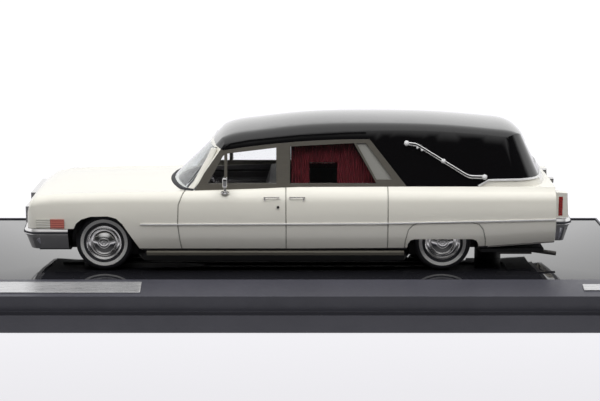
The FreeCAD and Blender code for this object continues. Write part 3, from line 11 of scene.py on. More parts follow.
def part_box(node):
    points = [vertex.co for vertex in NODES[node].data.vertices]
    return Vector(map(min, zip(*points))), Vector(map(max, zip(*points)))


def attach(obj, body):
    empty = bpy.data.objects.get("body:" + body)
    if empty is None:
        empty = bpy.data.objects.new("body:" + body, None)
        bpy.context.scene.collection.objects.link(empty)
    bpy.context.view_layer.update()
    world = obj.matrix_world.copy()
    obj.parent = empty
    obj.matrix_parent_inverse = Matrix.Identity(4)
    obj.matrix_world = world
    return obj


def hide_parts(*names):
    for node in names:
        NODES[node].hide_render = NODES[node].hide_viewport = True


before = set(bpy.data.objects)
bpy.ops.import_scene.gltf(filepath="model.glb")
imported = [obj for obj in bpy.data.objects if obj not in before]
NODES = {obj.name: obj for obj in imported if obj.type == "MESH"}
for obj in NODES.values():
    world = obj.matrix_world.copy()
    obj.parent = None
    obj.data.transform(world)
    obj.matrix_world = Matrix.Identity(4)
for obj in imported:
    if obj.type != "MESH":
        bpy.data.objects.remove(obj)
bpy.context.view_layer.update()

bl_info = {
    "name": "Landau hearse model",
    "version": (1, 0, 0),
    "blender": (4, 5, 0),
    "location": "View3D > Sidebar > Hearse",
    "description": "Finishes, fine pieces and studio for a landau hearse display model",
    "category": "Object",
}

# Bare sizes are in mm, and angles in radians. The car faces +x, its left side is +y, and z is up.
MM = 0.001
CENTRE_Y = 6.85  # the car's centre plane, from the plinth's middle
FRONT_AXLE = (52.3, 19.15)  # x and z of the axles
REAR_AXLE = (-39.6, 19.15)
BELT_Z = 34.8  # window sills
WALL_Y = 26.25  # outer face of the window wall at the belt, left side
WALL_LEAN = math.atan(2.7 / 11.0)
SLOPE = math.atan(2.3 / 9.1)  # the plinth's sloped front edge


# ---- settings

def linear(hex_colour):
    """sRGB hex string to the linear values that the shaders work in."""
    values = [int(hex_colour[i:i + 2], 16) / 255.0 for i in (1, 3, 5)]
    return tuple(v / 12.92 if v <= 0.04045 else ((v + 0.055) / 1.055) ** 2.4 for v in values) + (1.0,)


def length(name, description, default):
    """Property for a size given in mm and kept in metres."""
    return FloatProperty(name=name, description=description, default=default * MM, min=0.0,
                         unit="LENGTH", subtype="DISTANCE", precision=5)


def colour(name, description, default):
    """Property for a colour given as sRGB hex."""
    return FloatVectorProperty(name=name, description=description, default=linear(default), size=4,
                               min=0.0, max=1.0, subtype="COLOR")


class HearsePaints(PropertyGroup):
    """Colours of the car's paints"""
    body: colour("Body", "Enamel of the lower body", "#f4f1e6")
    roof: colour("Roof", "Enamel of the roof", "#0a090b")
    curtain: colour("Curtains", "Paint of the curtains", "#62141f")
    whitewall: colour("Whitewall", "Band in the tyres' side walls", "#fbfaf7")


class HearseSizes(PropertyGroup):
    """Sizes of the fine pieces"""
    cover_radius: length("Wheel cover", "Outer radius of a wheel cover", 4.8)
    tyre_radius: length("Tyre", "Outer radius of a tyre", 7.75)
    white_inner: length("Whitewall, inner", "Inner radius of the white band", 5.5)
    white_outer: length("Whitewall, outer", "Outer radius of the white band", 6.42)
    bar_width: length("Landau bar", "Width of a landau bar", 0.95)
    pleat: length("Pleat", "From one curtain pleat to the next", 0.68)
    plate_rim: length("Plate rim", "Width of the rim round a plate", 0.3)
    rail_depth: length("Frame rail", "Depth of the rails under the chassis plate", 2.1)
    flutes: IntProperty(name="Flutes", description="Flutes round a wheel cover", default=40, min=8)


class StudioSettings(PropertyGroup):
    """Light, lens and floor of the studio"""
    ceiling_power: FloatProperty(name="Ceiling light", description="Power of the soft box overhead",
                                 default=10.2, min=0.0, unit="POWER")
    lens_length: FloatProperty(name="Lens", description="Focal length of the camera in mm", default=98.0,
                               min=20.0, unit="CAMERA")
    floor: colour("Floor", "Colour of the floor", "#f6f5f9")


# ---- modelling steps

def deselect():
    """Leaves edit mode, and selects nothing."""
    if bpy.context.mode != "OBJECT":
        bpy.ops.object.mode_set(mode="OBJECT")
    bpy.ops.object.select_all(action="DESELECT")


def activate(piece):
    """Selects one piece alone and makes it active."""
    deselect()
    piece.select_set(True)
    bpy.context.view_layer.objects.active = piece


def begin(kind, **options):
    """Adds a primitive at the origin and opens it in edit mode, all selected."""
    deselect()
    getattr(bpy.ops.mesh, f"primitive_{kind}_add")(**options)
    bpy.ops.object.mode_set(mode="EDIT")
    bpy.ops.mesh.select_all(action="SELECT")


def begin_sized(kind, x, y, z):
    """Begins a cube or a plane of the given sizes."""
    begin(kind, size=1.0)
    stretch(x * MM, y * MM, z * MM)


def choose(kind, test):
    """In edit mode, selects the vertices, edges or faces whose middle and normal pass the test."""
    bpy.ops.mesh.select_mode(type=kind)
    bpy.ops.mesh.select_all(action="DESELECT")
    bpy.ops.object.mode_set(mode="OBJECT")
    mesh = bpy.context.object.data
    for item in {"VERT": mesh.vertices, "EDGE": mesh.edges, "FACE": mesh.polygons}[kind]:
        corners = [item.index] if kind == "VERT" else item.vertices
        middle = sum((mesh.vertices[i].co for i in corners), Vector()) / len(corners) / MM
        normal = Vector() if kind == "EDGE" else item.normal
        item.select = bool(test(middle, normal))
    bpy.ops.object.mode_set(mode="EDIT")


def move(x, y, z):
    """Moves what is selected."""
    bpy.ops.transform.translate(value=(x * MM, y * MM, z * MM))


def stretch(x, y, z, about=(0, 0, 0)):
    """Scales what is selected, about a point."""
    bpy.ops.transform.resize(value=(x, y, z), center_override=[MM * v for v in about])


def extrude(x, y, z):
    """Draws out what is selected."""
    bpy.ops.mesh.extrude_region_move(TRANSFORM_OT_translate={"value": (x * MM, y * MM, z * MM)})


def close_up():
    """Merges doubled points, turns the faces outwards and leaves edit mode."""
    bpy.ops.mesh.select_mode(type="VERT")
    bpy.ops.mesh.select_all(action="SELECT")
    bpy.ops.mesh.remove_doubles(threshold=0.003 * MM)
    bpy.ops.mesh.normals_make_consistent(inside=False)
    bpy.ops.object.mode_set(mode="OBJECT")
    return bpy.context.object


def turned(profile, segments):
    """Turns a piece on the z axis, a ring at each (radius, height) of its profile. Stays in edit mode."""
    tiny = 0.001
    radius, height = max(profile[0][0], tiny), profile[0][1]
    begin("circle", vertices=segments, radius=radius * MM)
    move(0, 0, height)
    for next_radius, next_height in profile[1:]:
        next_radius = max(next_radius, tiny)
        extrude(0, 0, next_height - height)
        factor = next_radius / radius
        stretch(factor, factor, 1, about=(0, 0, next_height))
        radius, height = next_radius, next_height


def block(x, y, z, rounded, segments=2):
    """Makes a block of the given sizes with its edges rounded. Stays in edit mode."""
    begin_sized("cube", x, y, z)
    bpy.ops.mesh.bevel(offset=rounded * MM, segments=segments, affect="EDGES")


def apply_modifier(piece, kind, **settings):
    """Adds a modifier with its settings and applies it."""
    activate(piece)
    modifier = piece.modifiers.new(kind.title(), kind)
    for name, value in settings.items():
        setattr(modifier, name, value)
    bpy.ops.object.modifier_apply(modifier=modifier.name)


def stamp(master, name, turn, place):
    """Copy of a master with its own mesh, turned by a matrix and moved to its place."""
    activate(master)
    bpy.ops.object.duplicate(linked=False)
    piece = bpy.context.object
    piece.name = name
    piece.matrix_world = Matrix.Translation(Vector(place) * MM) @ turn.to_4x4()
    bpy.ops.object.transform_apply(location=True, rotation=True, scale=True)
    return piece


def discard(*masters):
    """Deletes the masters once their copies stand."""
    for master in masters:
        activate(master)
        bpy.ops.object.delete()


def mirrored(piece, name):
    """Copy of a finished piece on the car's other side."""
    activate(piece)
    bpy.ops.object.duplicate(linked=False)
    other = bpy.context.object
    other.name = name
    bpy.ops.object.mode_set(mode="EDIT")
    bpy.ops.mesh.select_all(action="SELECT")
    stretch(1, -1, 1, about=(0, CENTRE_Y, 0))
    bpy.ops.mesh.normals_make_consistent(inside=False)
    bpy.ops.object.mode_set(mode="OBJECT")
    return other


def joined(name, *pieces):
    """One object of several, under a new name."""
    activate(pieces[0])
    for piece in pieces[1:]:
        piece.select_set(True)
    bpy.ops.object.join()
    bpy.context.object.name = name
    return bpy.context.object


def dress(piece, look, body, slot, *stands_for, smooth=35):
    """Shades and paints a finished piece, and ties it to its body and to what it stands for."""
    activate(piece)
    bpy.ops.object.shade_smooth_by_angle(angle=math.radians(smooth))
    if len(piece.data.materials) < 2:
        piece.data.materials.clear()
        piece.data.materials.append(finish(look))
    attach(piece, body)
    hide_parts(*stands_for)


def dress_both(left, look, slot, *stands_for, smooth=35):
    """Dresses a fixed piece of the left side, and its mirrored copy on the right."""
    right = mirrored(left, left.name.replace("left", "right"))
    for piece in (left, right):
        dress(piece, look, "root", slot, *stands_for, smooth=smooth)


def axes(x, y, z):
    """Rotation that carries the local axes to these directions."""
    return Matrix((x, y, z)).transposed()


UPRIGHT = Matrix.Identity(3)
OUT_LEFT = axes((1, 0, 0), (0, 0, -1), (0, 1, 0))  # local z to the car's left
OUT_RIGHT = axes((1, 0, 0), (0, 0, 1), (0, -1, 0))  # local z to the car's right
LEAN_IN = Vector((0, -math.sin(WALL_LEAN), math.cos(WALL_LEAN)))  # up the left window wall
LEAN_OUT = Vector((0, math.cos(WALL_LEAN), math.sin(WALL_LEAN)))  # straight out of it
FORWARD = Vector((1, 0, 0))


# ---- materials

def add_node(tree, kind, **values):
    """Adds a shader node, sets its properties, and fills or links its inputs.

    A property goes by its own name in lower case, and an input by its socket's name, or by _ and its number.
    An input takes a number, a colour as a hex string, a socket, or a node, whose first output is linked.
    """
    node = tree.nodes.new("ShaderNode" + kind)
    for name, value in values.items():
        if name[0].islower():
            setattr(node, name, value)
            continue
        socket = node.inputs[int(name[1:]) if name[0] == "_" else name.replace("_", " ")]
        source = value.outputs[0] if isinstance(value, Node) else value
        if isinstance(source, NodeSocket):
            tree.links.new(source, socket)
        else:
            socket.default_value = linear(value) if isinstance(value, str) else value
    return node


EVEN = (1, 1, 1)  # a grain that runs no way more than another


def start_nodes(owner):
    """Empties the nodes of a material or world, and gives the call that adds one."""
    owner.use_nodes = True
    owner.node_tree.nodes.clear()
    return partial(add_node, owner.node_tree)


def start_material(name, grain=EVEN):
    """Empty material, the call that adds its nodes, and its Object coordinates in mm along a grain."""
    material = bpy.data.materials.new(name)
    add = start_nodes(material)
    place = add("TexCoord").outputs["Object"]
    return material, add, add("Mapping", _0=place, Scale=tuple(1000.0 * share for share in grain))


def end_material(material, relief, tone=None, gloss=None, rounded=0.0, **look):
    """Ends a material in one shader, its edges rounded by a radius.

    The relief is a pattern, its depth and its strength. Where they vary, the tone is a pattern and the two
    colours it runs between, and the gloss a pattern and two roughnesses.
    """
    add = partial(add_node, material.node_tree)
    if tone:
        pattern, low, high = tone
        look["Base_Color"] = add("Mix", data_type="RGBA", _0=pattern, _6=low, _7=high).outputs[2]
    if gloss:
        pattern, low, high = gloss
        look["Roughness"] = add("MapRange", _0=pattern, _1=0.3, _2=0.7, _3=low, _4=high)
    height, depth, strength = relief
    edges = {"Normal": add("Bevel", samples=4, Radius=rounded * MM)} if rounded else {}
    bumps = add("Bump", Height=height, Distance=depth * MM, Strength=strength, **edges)
    shader = add("BsdfPrincipled", Normal=bumps, **look)
    add("OutputMaterial", Surface=shader)
    return material


def darker(paint, share):
    """A paint's linear colour at a share of its brightness."""
    return tuple(share * value for value in paint[:3]) + (1.0,)


def enamel(name, paint, roughness, coat, line_shade_colour):
    """Sprayed enamel under lacquer: faint orange peel, and painted shade in the engraved lines, darker where
    ambient occlusion finds them enclosed.
    """
    material, add, where = start_material(name)
    peel = add("TexNoise", Vector=where, Scale=1 / 1.6, Detail=1.0)
    cloud = add("TexNoise", Vector=where, Scale=1 / 24.0)
    sprayed = add("Mix", data_type="RGBA", _0=cloud, _6=darker(paint, 0.95), _7=tuple(paint))
    # Painted shade: the shut lines go darker where the occlusion finds them enclosed.
    groove_occlusion = add("AmbientOcclusion", samples=6, only_local=True, Distance=0.35 * MM)
    lines = add("MapRange", _0=groove_occlusion.outputs["AO"], _1=0.35, _2=0.8, _3=1.0, _4=0.0)
    return end_material(material, (peel, 0.004, 0.35), (lines, sprayed.outputs[2], line_shade_colour), rounded=0.12,
                        Roughness=roughness, Coat_Weight=coat, Coat_Roughness=0.03)


def metal(name, low, high, roughness, spread, grain, pitch, metallic=1.0, rounded=0.08):
    """Metal, or metallic paint, whose tone and roughness vary a little along a grain."""
    material, add, where = start_material(name, grain)
    cloud = add("TexNoise", Vector=where, Scale=1 / pitch, Detail=3.0)
    return end_material(material, (cloud, 0.004, 0.3), (cloud, low, high),
                        (cloud, roughness, roughness + spread), rounded, Metallic=metallic)


def plastic(name, low, high, roughness, spread, pitch, depth, rounded=0.08):
    """Moulded plastic or rubber with a fine texture from its mould, and a tone that drifts more slowly."""
    material, add, where = start_material(name)
    grain = add("TexNoise", Vector=where, Scale=1 / pitch, Detail=4.0)
    cloud = add("TexNoise", Vector=where, Scale=1 / (9 * pitch))
    return end_material(material, (grain, depth, 0.5), (cloud, low, high),
                        (grain, roughness, roughness + spread), rounded)


def polished_base():
    """Lacquer over the black base, polished flat, with slow ripples that bend what it mirrors."""
    material, add, where = start_material("polished_black_lacquer")
    swell = add("TexNoise", Vector=where, Scale=1 / 9.0, Detail=1.0)
    haze = add("TexNoise", Vector=where, Scale=1 / 30.0)
    return end_material(material, (swell, 0.03, 0.25), (haze, "#1c1c20", "#232327"), (haze, 0.03, 0.07), 0.15,
                        IOR=1.5, Coat_Weight=0.6, Coat_Roughness=0.03)


def glazing(name, tint):
    """Vacuum-formed acetate: thin, mirror-smooth, with a slow ripple from forming."""
    material, add, where = start_material(name)
    ripple = add("TexNoise", Vector=where, Scale=1 / 14.0, Detail=0.0)
    return end_material(material, (ripple, 0.02, 0.05), Base_Color=tint, Roughness=0.0, IOR=1.45,
                        Transmission_Weight=1.0)


def lens(name, low, high, pitch, axis, transmission, roughness=0.12):
    """Moulded lens with parallel ribs of the given pitch, across an axis."""
    material, add, where = start_material(name)
    ribs = add("TexWave", bands_direction=axis, Vector=where, Scale=0.314 / pitch,
               Distortion=0.0).outputs["Fac"]
    return end_material(material, (ribs, 0.06, 0.8), (ribs, low, high), Roughness=roughness, IOR=1.49,
                        Coat_Weight=0.5, Transmission_Weight=transmission)


def curtain_paint(paint):
    """Matt paint on the moulded curtains, with fine streaks down the pleats."""
    material, add, where = start_material("matt_oxblood_paint", (1, 1, 0.08))
    cloud = add("TexNoise", Vector=where, Scale=1 / 0.35, Detail=3.0)
    streaks = add("MapRange", _0=cloud, _1=0.3, _2=0.7, _3=0.0, _4=1.0)
    return end_material(material, (streaks, 0.05, 0.6), (streaks, darker(paint, 0.45), tuple(paint)),
                        Roughness=0.75, Sheen_Weight=0.06, Specular_IOR_Level=0.2)


def white_band(paint):
    """White rubber let into the tyre's side wall: matt, very slightly grey with dust."""
    material, add, where = start_material("white_rubber_band")
    dust = add("TexNoise", Vector=where, Scale=1 / 0.8, Detail=3.0)
    return end_material(material, (dust, 0.01, 0.4), (dust, darker(paint, 0.85), tuple(paint)),
                        Roughness=0.55)


def paints():
    """The colours that are set for the paints."""
    return bpy.context.scene.hearse_paints


FINISHES = {
    # Automotive enamel, sprayed and polished: warm white, glossy, with grey-brown painted shade in the shut
    # lines.
    "cream_enamel": lambda: enamel("cream_enamel", paints().body, 0.42, coat=0.9, line_shade_colour="#6d6a60"),
    # Gloss black enamel: deep black, with a soft sheen where the light grazes it.
    "black_enamel": lambda: enamel("black_enamel", paints().roof, 0.12, coat=0.7, line_shade_colour="#050505"),
    # Vacuum-plated plastic: mirror bright, faintly cloudy.
    "chrome": lambda: metal("bright_chrome", "#d9d8d8", "#efeeed", 0.04, 0.06, EVEN, 2.5, rounded=0.04),
    # Silvered foil on thin half-round strips and bars: soft edges.
    "moulding": lambda: metal("silvered_foil", "#f9f8f6", "#ffffff", 0.16, 0.08, EVEN, 2.5, 0.18, 0.14),
    # Etched brass frame under dull metallic paint: dark warm grey with a fine grain.
    "pewter": lambda: metal("dull_pewter_paint", "#5f5c55", "#716d65", 0.38, 0.12, (0.3, 1, 3), 0.5, 0.3),
    # Panel in pale metallic paint, with the grain of the brushed metal under it.
    "panel": lambda: metal("pale_metallic_paint", "#989791", "#adaca6", 0.42, 0.12, (0.15, 1, 4), 0.25, 0.3),
    # Sill moulding in dull metallic paint, streaked along its length.
    "sill": lambda: metal("dull_metallic_paint", "#625e55", "#7e7a6f", 0.34, 0.1, (0.05, 1, 2), 0.6, 0.35),
    # Blank nickel silver plate, brushed lengthwise.
    "plate": lambda: metal("brushed_nickel_plate", "#bdbdbf", "#dededf", 0.24, 0.1, (0.05, 1, 1), 0.3, 0.6),
    # Turned steel: plain grey with fine rings worn into it.
    "steel": lambda: metal("turned_steel", "#8a8a8c", "#b4b4b6", 0.28, 0.12, (1, 3, 1), 0.4),
    # Sooty exhaust steel: grey-brown and dull.
    "exhaust": lambda: metal("dull_exhaust_steel", "#6b6967", "#8b8885", 0.45, 0.2, EVEN, 1.2, 0.5),
    # Lacquered black base, its top polished like a mirror.
    "base": polished_base,
    # The base's edges: the same black under satin lacquer.
    "base_edge": lambda: plastic("satin_black_lacquer", "#424249", "#4f4f57", 0.3, 0.1, 1.5, 0.004, 0.15),
    # Clear acetate windows, smooth as a mirror.
    "glazing": lambda: glazing("clear_formed_acetate", "#fcfdfd"),
    # The windscreen's acetate, tinted a light grey.
    "tinted_glazing": lambda: glazing("tinted_formed_acetate", "#d9dddf"),
    # Moulded ABS: near black, slightly rough.
    "black_abs": lambda: plastic("moulded_black_abs", "#111112", "#191919", 0.45, 0.15, 0.3, 0.01),
    # Black rubber: matt, a little dusty.
    "rubber": lambda: plastic("black_rubber", "#2b2b2e", "#38383c", 0.6, 0.2, 0.25, 0.012),
    # Moulded seat, painted grey with a leather-like grain.
    "seat": lambda: plastic("charcoal_grained_paint", "#656163", "#777273", 0.5, 0.2, 0.28, 0.03),
    # Moulded cabin trim in matt grey paint.
    "trim": lambda: plastic("matt_grey_trim_paint", "#565355", "#686567", 0.6, 0.15, 0.35, 0.02),
    # Casket deck: matt brown-grey paint over a coarse grain.
    "deck": lambda: plastic("matt_deck_paint", "#4a4643", "#5f5a55", 0.65, 0.15, 0.5, 0.02),
    # Moulded curtains painted oxblood and left matt.
    "curtain": lambda: curtain_paint(paints().curtain),
    # The tyres' white rubber bands.
    "white_band": lambda: white_band(paints().whitewall),
    # Clear styrene over a pale backing, with level ribs: nearly white, with grey lines.
    "ribbed_lens": lambda: lens("clear_ribbed_styrene", "#cfccbf", "#f8f6ee", 0.62, "Z", 0.05),
    # Red styrene over a pale backing, with level ribs: a faded brick red.
    "marker_lens": lambda: lens("red_ribbed_styrene", "#b4564a", "#df8072", 0.62, "Z", 0.05),
    # Transparent red styrene, finely ribbed.
    "tail_lens": lambda: lens("red_tail_styrene", "#7a0c08", "#c3221a", 0.45, "Z", 0.2),
    # Clear styrene headlamp glass with upright flutes.
    "headlamp_lens": lambda: lens("fluted_clear_styrene", "#c8cbd0", "#f4f6f8", 0.32, "Y", 0.6, 0.05),
}
# CAD pieces by their finish: whole names, or the endings that like pieces share.
FINISHED_PIECES = {
    "cream_enamel": ("body_shell", "windscreen_frame", "tail_lamp_housings"),
    "black_enamel": ("roof_shell", "drip_rails"),
    "chrome": ("left_wheel", "right_wheel", "front_bumper", "rear_bumper", "grille", "headlamp_bezels",
               "tailgate_lamps", "landau_bars", "door_handles", "door_mirrors"),
    "moulding": ("side_spears", "rear_beading"),
    "pewter": ("window_frames",),
    "panel": ("quarter_panels",),
    "sill": ("rocker_trims",),
    "plate": ("name_plate", "number_plate"),
    "steel": ("axle_pin", "fixing_screws"),
    "exhaust": ("exhaust",),
    "base": ("plinth",),
    "glazing": ("door_glass", "tailgate_glass"),
    "tinted_glazing": ("windscreen",),
    "black_abs": ("chassis_plate",),
    "rubber": ("_tyre", "windscreen_gasket", "bumper_strips"),
    "seat": ("front_seat",),
    "trim": ("dashboard", "steering_wheel", "door_cards", "cabin_floor", "partition"),
    "deck": ("casket_deck",),
    "curtain": ("curtains",),
    "ribbed_lens": ("cornering_lenses",),
    "marker_lens": ("marker_lenses",),
    "tail_lens": ("tail_lamp_lenses",),
    "headlamp_lens": ("headlamp_lenses",),
}
made = {}


def finish(name):
    """The named finish, made once."""
    if name not in made:
        made[name] = FINISHES[name]()
    return made[name]


def finish_of(node_name):
    """Name of the finish that a CAD piece takes."""
    return next(look for look, endings in FINISHED_PIECES.items() if node_name.endswith(endings))


# ---- pieces

def outwards(place, normal):
    """How much a face looks away from the car's centre plane, from -1 to 1."""
    return normal.y if place.y > CENTRE_Y else -normal.y


class HEARSE_OT_finishes(Operator):
    """Give every CAD piece its finish, with its facets shaded as one surface"""
    bl_idname = "hearse.finishes"
    bl_label = "Finish the CAD pieces"

    SAME_POINT = 0.002  # corners nearer than this are one
    SHARP = 28  # degrees, from which an edge stays sharp
    CABIN_HALF = 19.0  # half widths inside the castings, behind their end walls
    BODY_HALF = 19.5  # and over their undersides
    SILL_Z = 19.5  # below this every down-facing face takes the dark trim, as painted shade

    def execute(self, context):
        for name, piece in NODES.items():
            look = finish_of(name)
            piece.data.materials.clear()
            piece.data.materials.append(finish(look))
            piece.visible_shadow = "glazing" not in look
            for face in piece.data.polygons:
                face.use_smooth = True
            weld = piece.modifiers.new("Join facets", "WELD")
            weld.merge_threshold = self.SAME_POINT * MM
            split = piece.modifiers.new("Keep edges sharp", "EDGE_SPLIT")
            split.split_angle = math.radians(self.SHARP)
        # The castings' faces that look inwards or down take the dark trim, partly the cabin's own trim and
        # partly painted shade inside the hollow and under the car. The pillars' flanks are dull like the
        # window frames, and only the plinth's top is polished.
        for name in ("body_shell", "roof_shell", "windscreen_frame"):
            self.finish_faces(NODES[name], "trim", self.is_inside_or_shaded_under)
        self.finish_faces(NODES["windscreen_frame"], "pewter",
                          lambda place, normal: outwards(place, normal) > 0.8)
        self.finish_faces(NODES["plinth"], "base_edge", lambda place, normal: normal.z < 0.995)
        return {"FINISHED"}

    def finish_faces(self, piece, look, test):
        """Gives a second finish to the faces whose first corner and normal pass the test."""
        piece.data.materials.append(finish(look))
        for face in piece.data.polygons:
            if test(piece.data.vertices[face.vertices[0]].co / MM, face.normal):
                face.material_index = len(piece.data.materials) - 1

    def is_inside_or_shaded_under(self, place, normal):
        """Whether a casting's face looks inwards, down, or into the hollow from an end."""
        across = abs(place.y - CENTRE_Y)
        inner_side = outwards(place, normal) < -0.05 and normal.z < 0.2
        # Painted shade: faces that look down under the body, low outer ones too, take the dark trim.
        under = normal.z < -0.4 and (across < self.BODY_HALF or place.z < self.SILL_Z)
        inner_end = normal.x * (1 if place.x > 0 else -1) < -0.4 and across < self.CABIN_HALF
        return inner_side or under or inner_end


WHEELS = {
    "front_left": (FRONT_AXLE, 1, "front_axle"), "front_right": (FRONT_AXLE, -1, "front_axle"),
    "rear_left": (REAR_AXLE, 1, "rear_axle"), "rear_right": (REAR_AXLE, -1, "rear_axle"),
}
FACE_Y = 18.4  # outer face of the tyres from the centre plane


def stamp_wheels(stands_for, slot, *parts, smooth):
    """Copies parts to each wheel in place of its rim or tyre. A part is a master, a name and a finish."""
    for corner, ((x, z), side, body) in WHEELS.items():
        turn = OUT_LEFT if side > 0 else OUT_RIGHT
        for master, name, look in parts:
            piece = stamp(master, f"{corner}_{name}", turn, (x, CENTRE_Y + side * FACE_Y, z))
            dress(piece, look, body, slot, f"{corner}_{stands_for}", smooth=smooth)
    discard(*(part[0] for part in parts))


class HEARSE_OT_wheel_covers(Operator):
    """Turn the stepped, fluted wheel covers"""
    bl_idname = "hearse.wheel_covers"
    bl_label = "Wheel covers"

    def execute(self, context):
        sizes = context.scene.hearse_sizes
        rim = sizes.cover_radius / MM
        turned([
            (0.0, -1.5), (0.8, -1.5), (0.8, -3.5), (rim - 0.2, -3.5), (rim, -3.3), (rim, -0.12),
            (rim - 0.06, 0.03), (rim - 0.18, 0.06), (rim - 0.28, -0.02), (rim - 0.34, -0.3),
            # the fluted ring and the step inside it
            (4.3, -0.42), (4.18, -0.36), (3.72, -0.22), (3.6, -0.3), (3.5, -0.62), (3.36, -0.66),
            # the dome
            (3.2, -0.55), (2.95, -0.34), (2.6, -0.13), (2.25, 0.08), (1.9, 0.28), (1.66, 0.41), (1.55, 0.44),
            # the hub, with its two grooves
            (1.48, 0.26), (1.36, 0.26), (1.3, 0.46), (1.2, 0.54), (0.9, 0.62), (0.62, 0.64),
            (0.56, 0.42), (0.46, 0.42), (0.4, 0.5), (0.0, 0.54),
        ], segments=2 * sizes.flutes)
        flute = math.tau / sizes.flutes
        ring_inner, ring_outer, raised = 3.7, 4.25, 0.06

        def on_flute(middle, normal):
            angle = math.atan2(middle.y, middle.x) % flute
            return (ring_inner < middle.xy.length < ring_outer and middle.z > -1
                    and min(angle, flute - angle) < flute / 8)

        choose("VERT", on_flute)
        move(0, 0, raised)
        stamp_wheels("wheel", "chrome", (close_up(), "wheel_cover", "chrome"), smooth=24)
        return {"FINISHED"}


class HEARSE_OT_tyres(Operator):
    """Turn the whitewall tyres with their tread grooves"""
    bl_idname = "hearse.tyres"
    bl_label = "Tyres"

    WIDTH, GROOVE = 4.4, 0.16  # of a tyre, and the depth of the grooves in its tread
    GROOVES_AT = (-1.45, -1.9, -2.35, -2.8)

    def execute(self, context):
        sizes = context.scene.hearse_sizes
        bead, tread = sizes.cover_radius / MM + 0.01, sizes.tyre_radius / MM
        inner, outer = sizes.white_inner / MM, sizes.white_outer / MM
        wall = [(bead, -0.5), (bead + 0.03, -0.14), (bead + 0.2, -0.03), (inner, 0.0), (outer, 0.0),
                (outer + 0.3, -0.06), (tread - 0.7, -0.2), (tread - 0.38, -0.42), (tread - 0.16, -0.75),
                (tread - 0.04, -1.1), (tread, -1.3)]
        grooves = []
        for start in self.GROOVES_AT:
            floor = tread - self.GROOVE
            grooves += [(tread, start), (floor, start - 0.02), (floor, start - 0.14), (tread, start - 0.16)]
        far_wall = [(radius, -self.WIDTH - height) for radius, height in wall[::-1]]
        turned(wall + grooves + far_wall + [wall[0]], segments=72)
        tyre = close_up()
        turned([(inner, -0.05), (inner + 0.02, 0.03), (outer - 0.02, 0.03), (outer, -0.05), (inner, -0.05)],
               segments=72)
        band = close_up()
        stamp_wheels("tyre", "tyre_rubber", (tyre, "tyre_moulding", "rubber"),
                     (band, "whitewall", "white_band"), smooth=40)
        return {"FINISHED"}


class HEARSE_OT_landau_bars(Operator):
    """Draw out the grooved S-shaped landau bars with their knobs and hinges"""
    bl_idname = "hearse.landau_bars"
    bl_label = "Landau bars"

    ROUTE = [(0.0, 11.74), (2.3, 11.4), (3.1, 11.12), (3.9, 10.64), (15.9, 3.2), (16.7, 2.84), (17.6, 2.68),
             (20.9, 2.6)]  # distance towards the tail, and height up the wall
    START = (-29.6, WALL_Y + 0.34, BELT_Z)
    DEPTH, GROOVE = 0.62, 0.2  # the bar's depth as a share of its width, and its groove
    KNOB = [(0.0, -0.3), (0.34, -0.3), (0.34, 0.1), (0.6, 0.2), (0.72, 0.4), (0.66, 0.6), (0.48, 0.76),
            (0.24, 0.84), (0.0, 0.86)]
    COLLAR = [(0.0, -0.3), (0.6, -0.3), (0.62, 0.25), (0.52, 0.4), (0.3, 0.52), (0.0, 0.56)]
    PIVOT = [(0.0, -0.3), (0.3, -0.3), (0.3, 0.2), (0.2, 0.3), (0.0, 0.34)]

    def execute(self, context):
        radius = context.scene.hearse_sizes.bar_width / 2
        begin("circle", vertices=12, radius=radius, fill_type="NGON")
        stretch(1, self.DEPTH, 1)
        move(self.ROUTE[0][1], 0, 0)
        crest = self.DEPTH * radius / MM
        choose("VERT", lambda middle, normal: middle.y > 0.95 * crest)
        move(0, -self.GROOVE, 0)
        bpy.ops.mesh.select_all(action="SELECT")
        bpy.ops.mesh.select_mode(type="FACE")
        for (along, up), (next_along, next_up) in zip(self.ROUTE, self.ROUTE[1:]):
            extrude(next_up - up, 0, next_along - along)
        bar = close_up()
        bar.data.materials.append(finish("moulding"))
        bar.data.materials.append(finish("black_enamel"))  # painted shade: the groove's faces take black enamel
        for face in bar.data.polygons:
            if any(abs(bar.data.vertices[i].co.y / MM - crest + self.GROOVE) < 0.03 for i in face.vertices):
                face.material_index = 1

        base = Vector(self.START)
        outward = axes(FORWARD, LEAN_OUT.cross(FORWARD), LEAN_OUT)
        pieces = [stamp(bar, "bar", axes(LEAN_IN, LEAN_OUT, -FORWARD), base)]
        discard(bar)
        for profile, segments, stations in ((self.KNOB, 28, ((0.0, 11.74), (20.9, 2.6))),
                                            (self.COLLAR, 20, ((9.9, 6.93),)),
                                            (self.PIVOT, 16, ((2.9, 10.5), (4.1, 9.9)))):
            turned(profile, segments)
            knob = close_up()
            for along, up in stations:
                pieces.append(stamp(knob, "knob", outward, base - FORWARD * along + LEAN_IN * up))
            discard(knob)
        dress_both(joined("left_landau_bar", *pieces), "chrome", "chrome", "landau_bars", smooth=45)
        return {"FINISHED"}


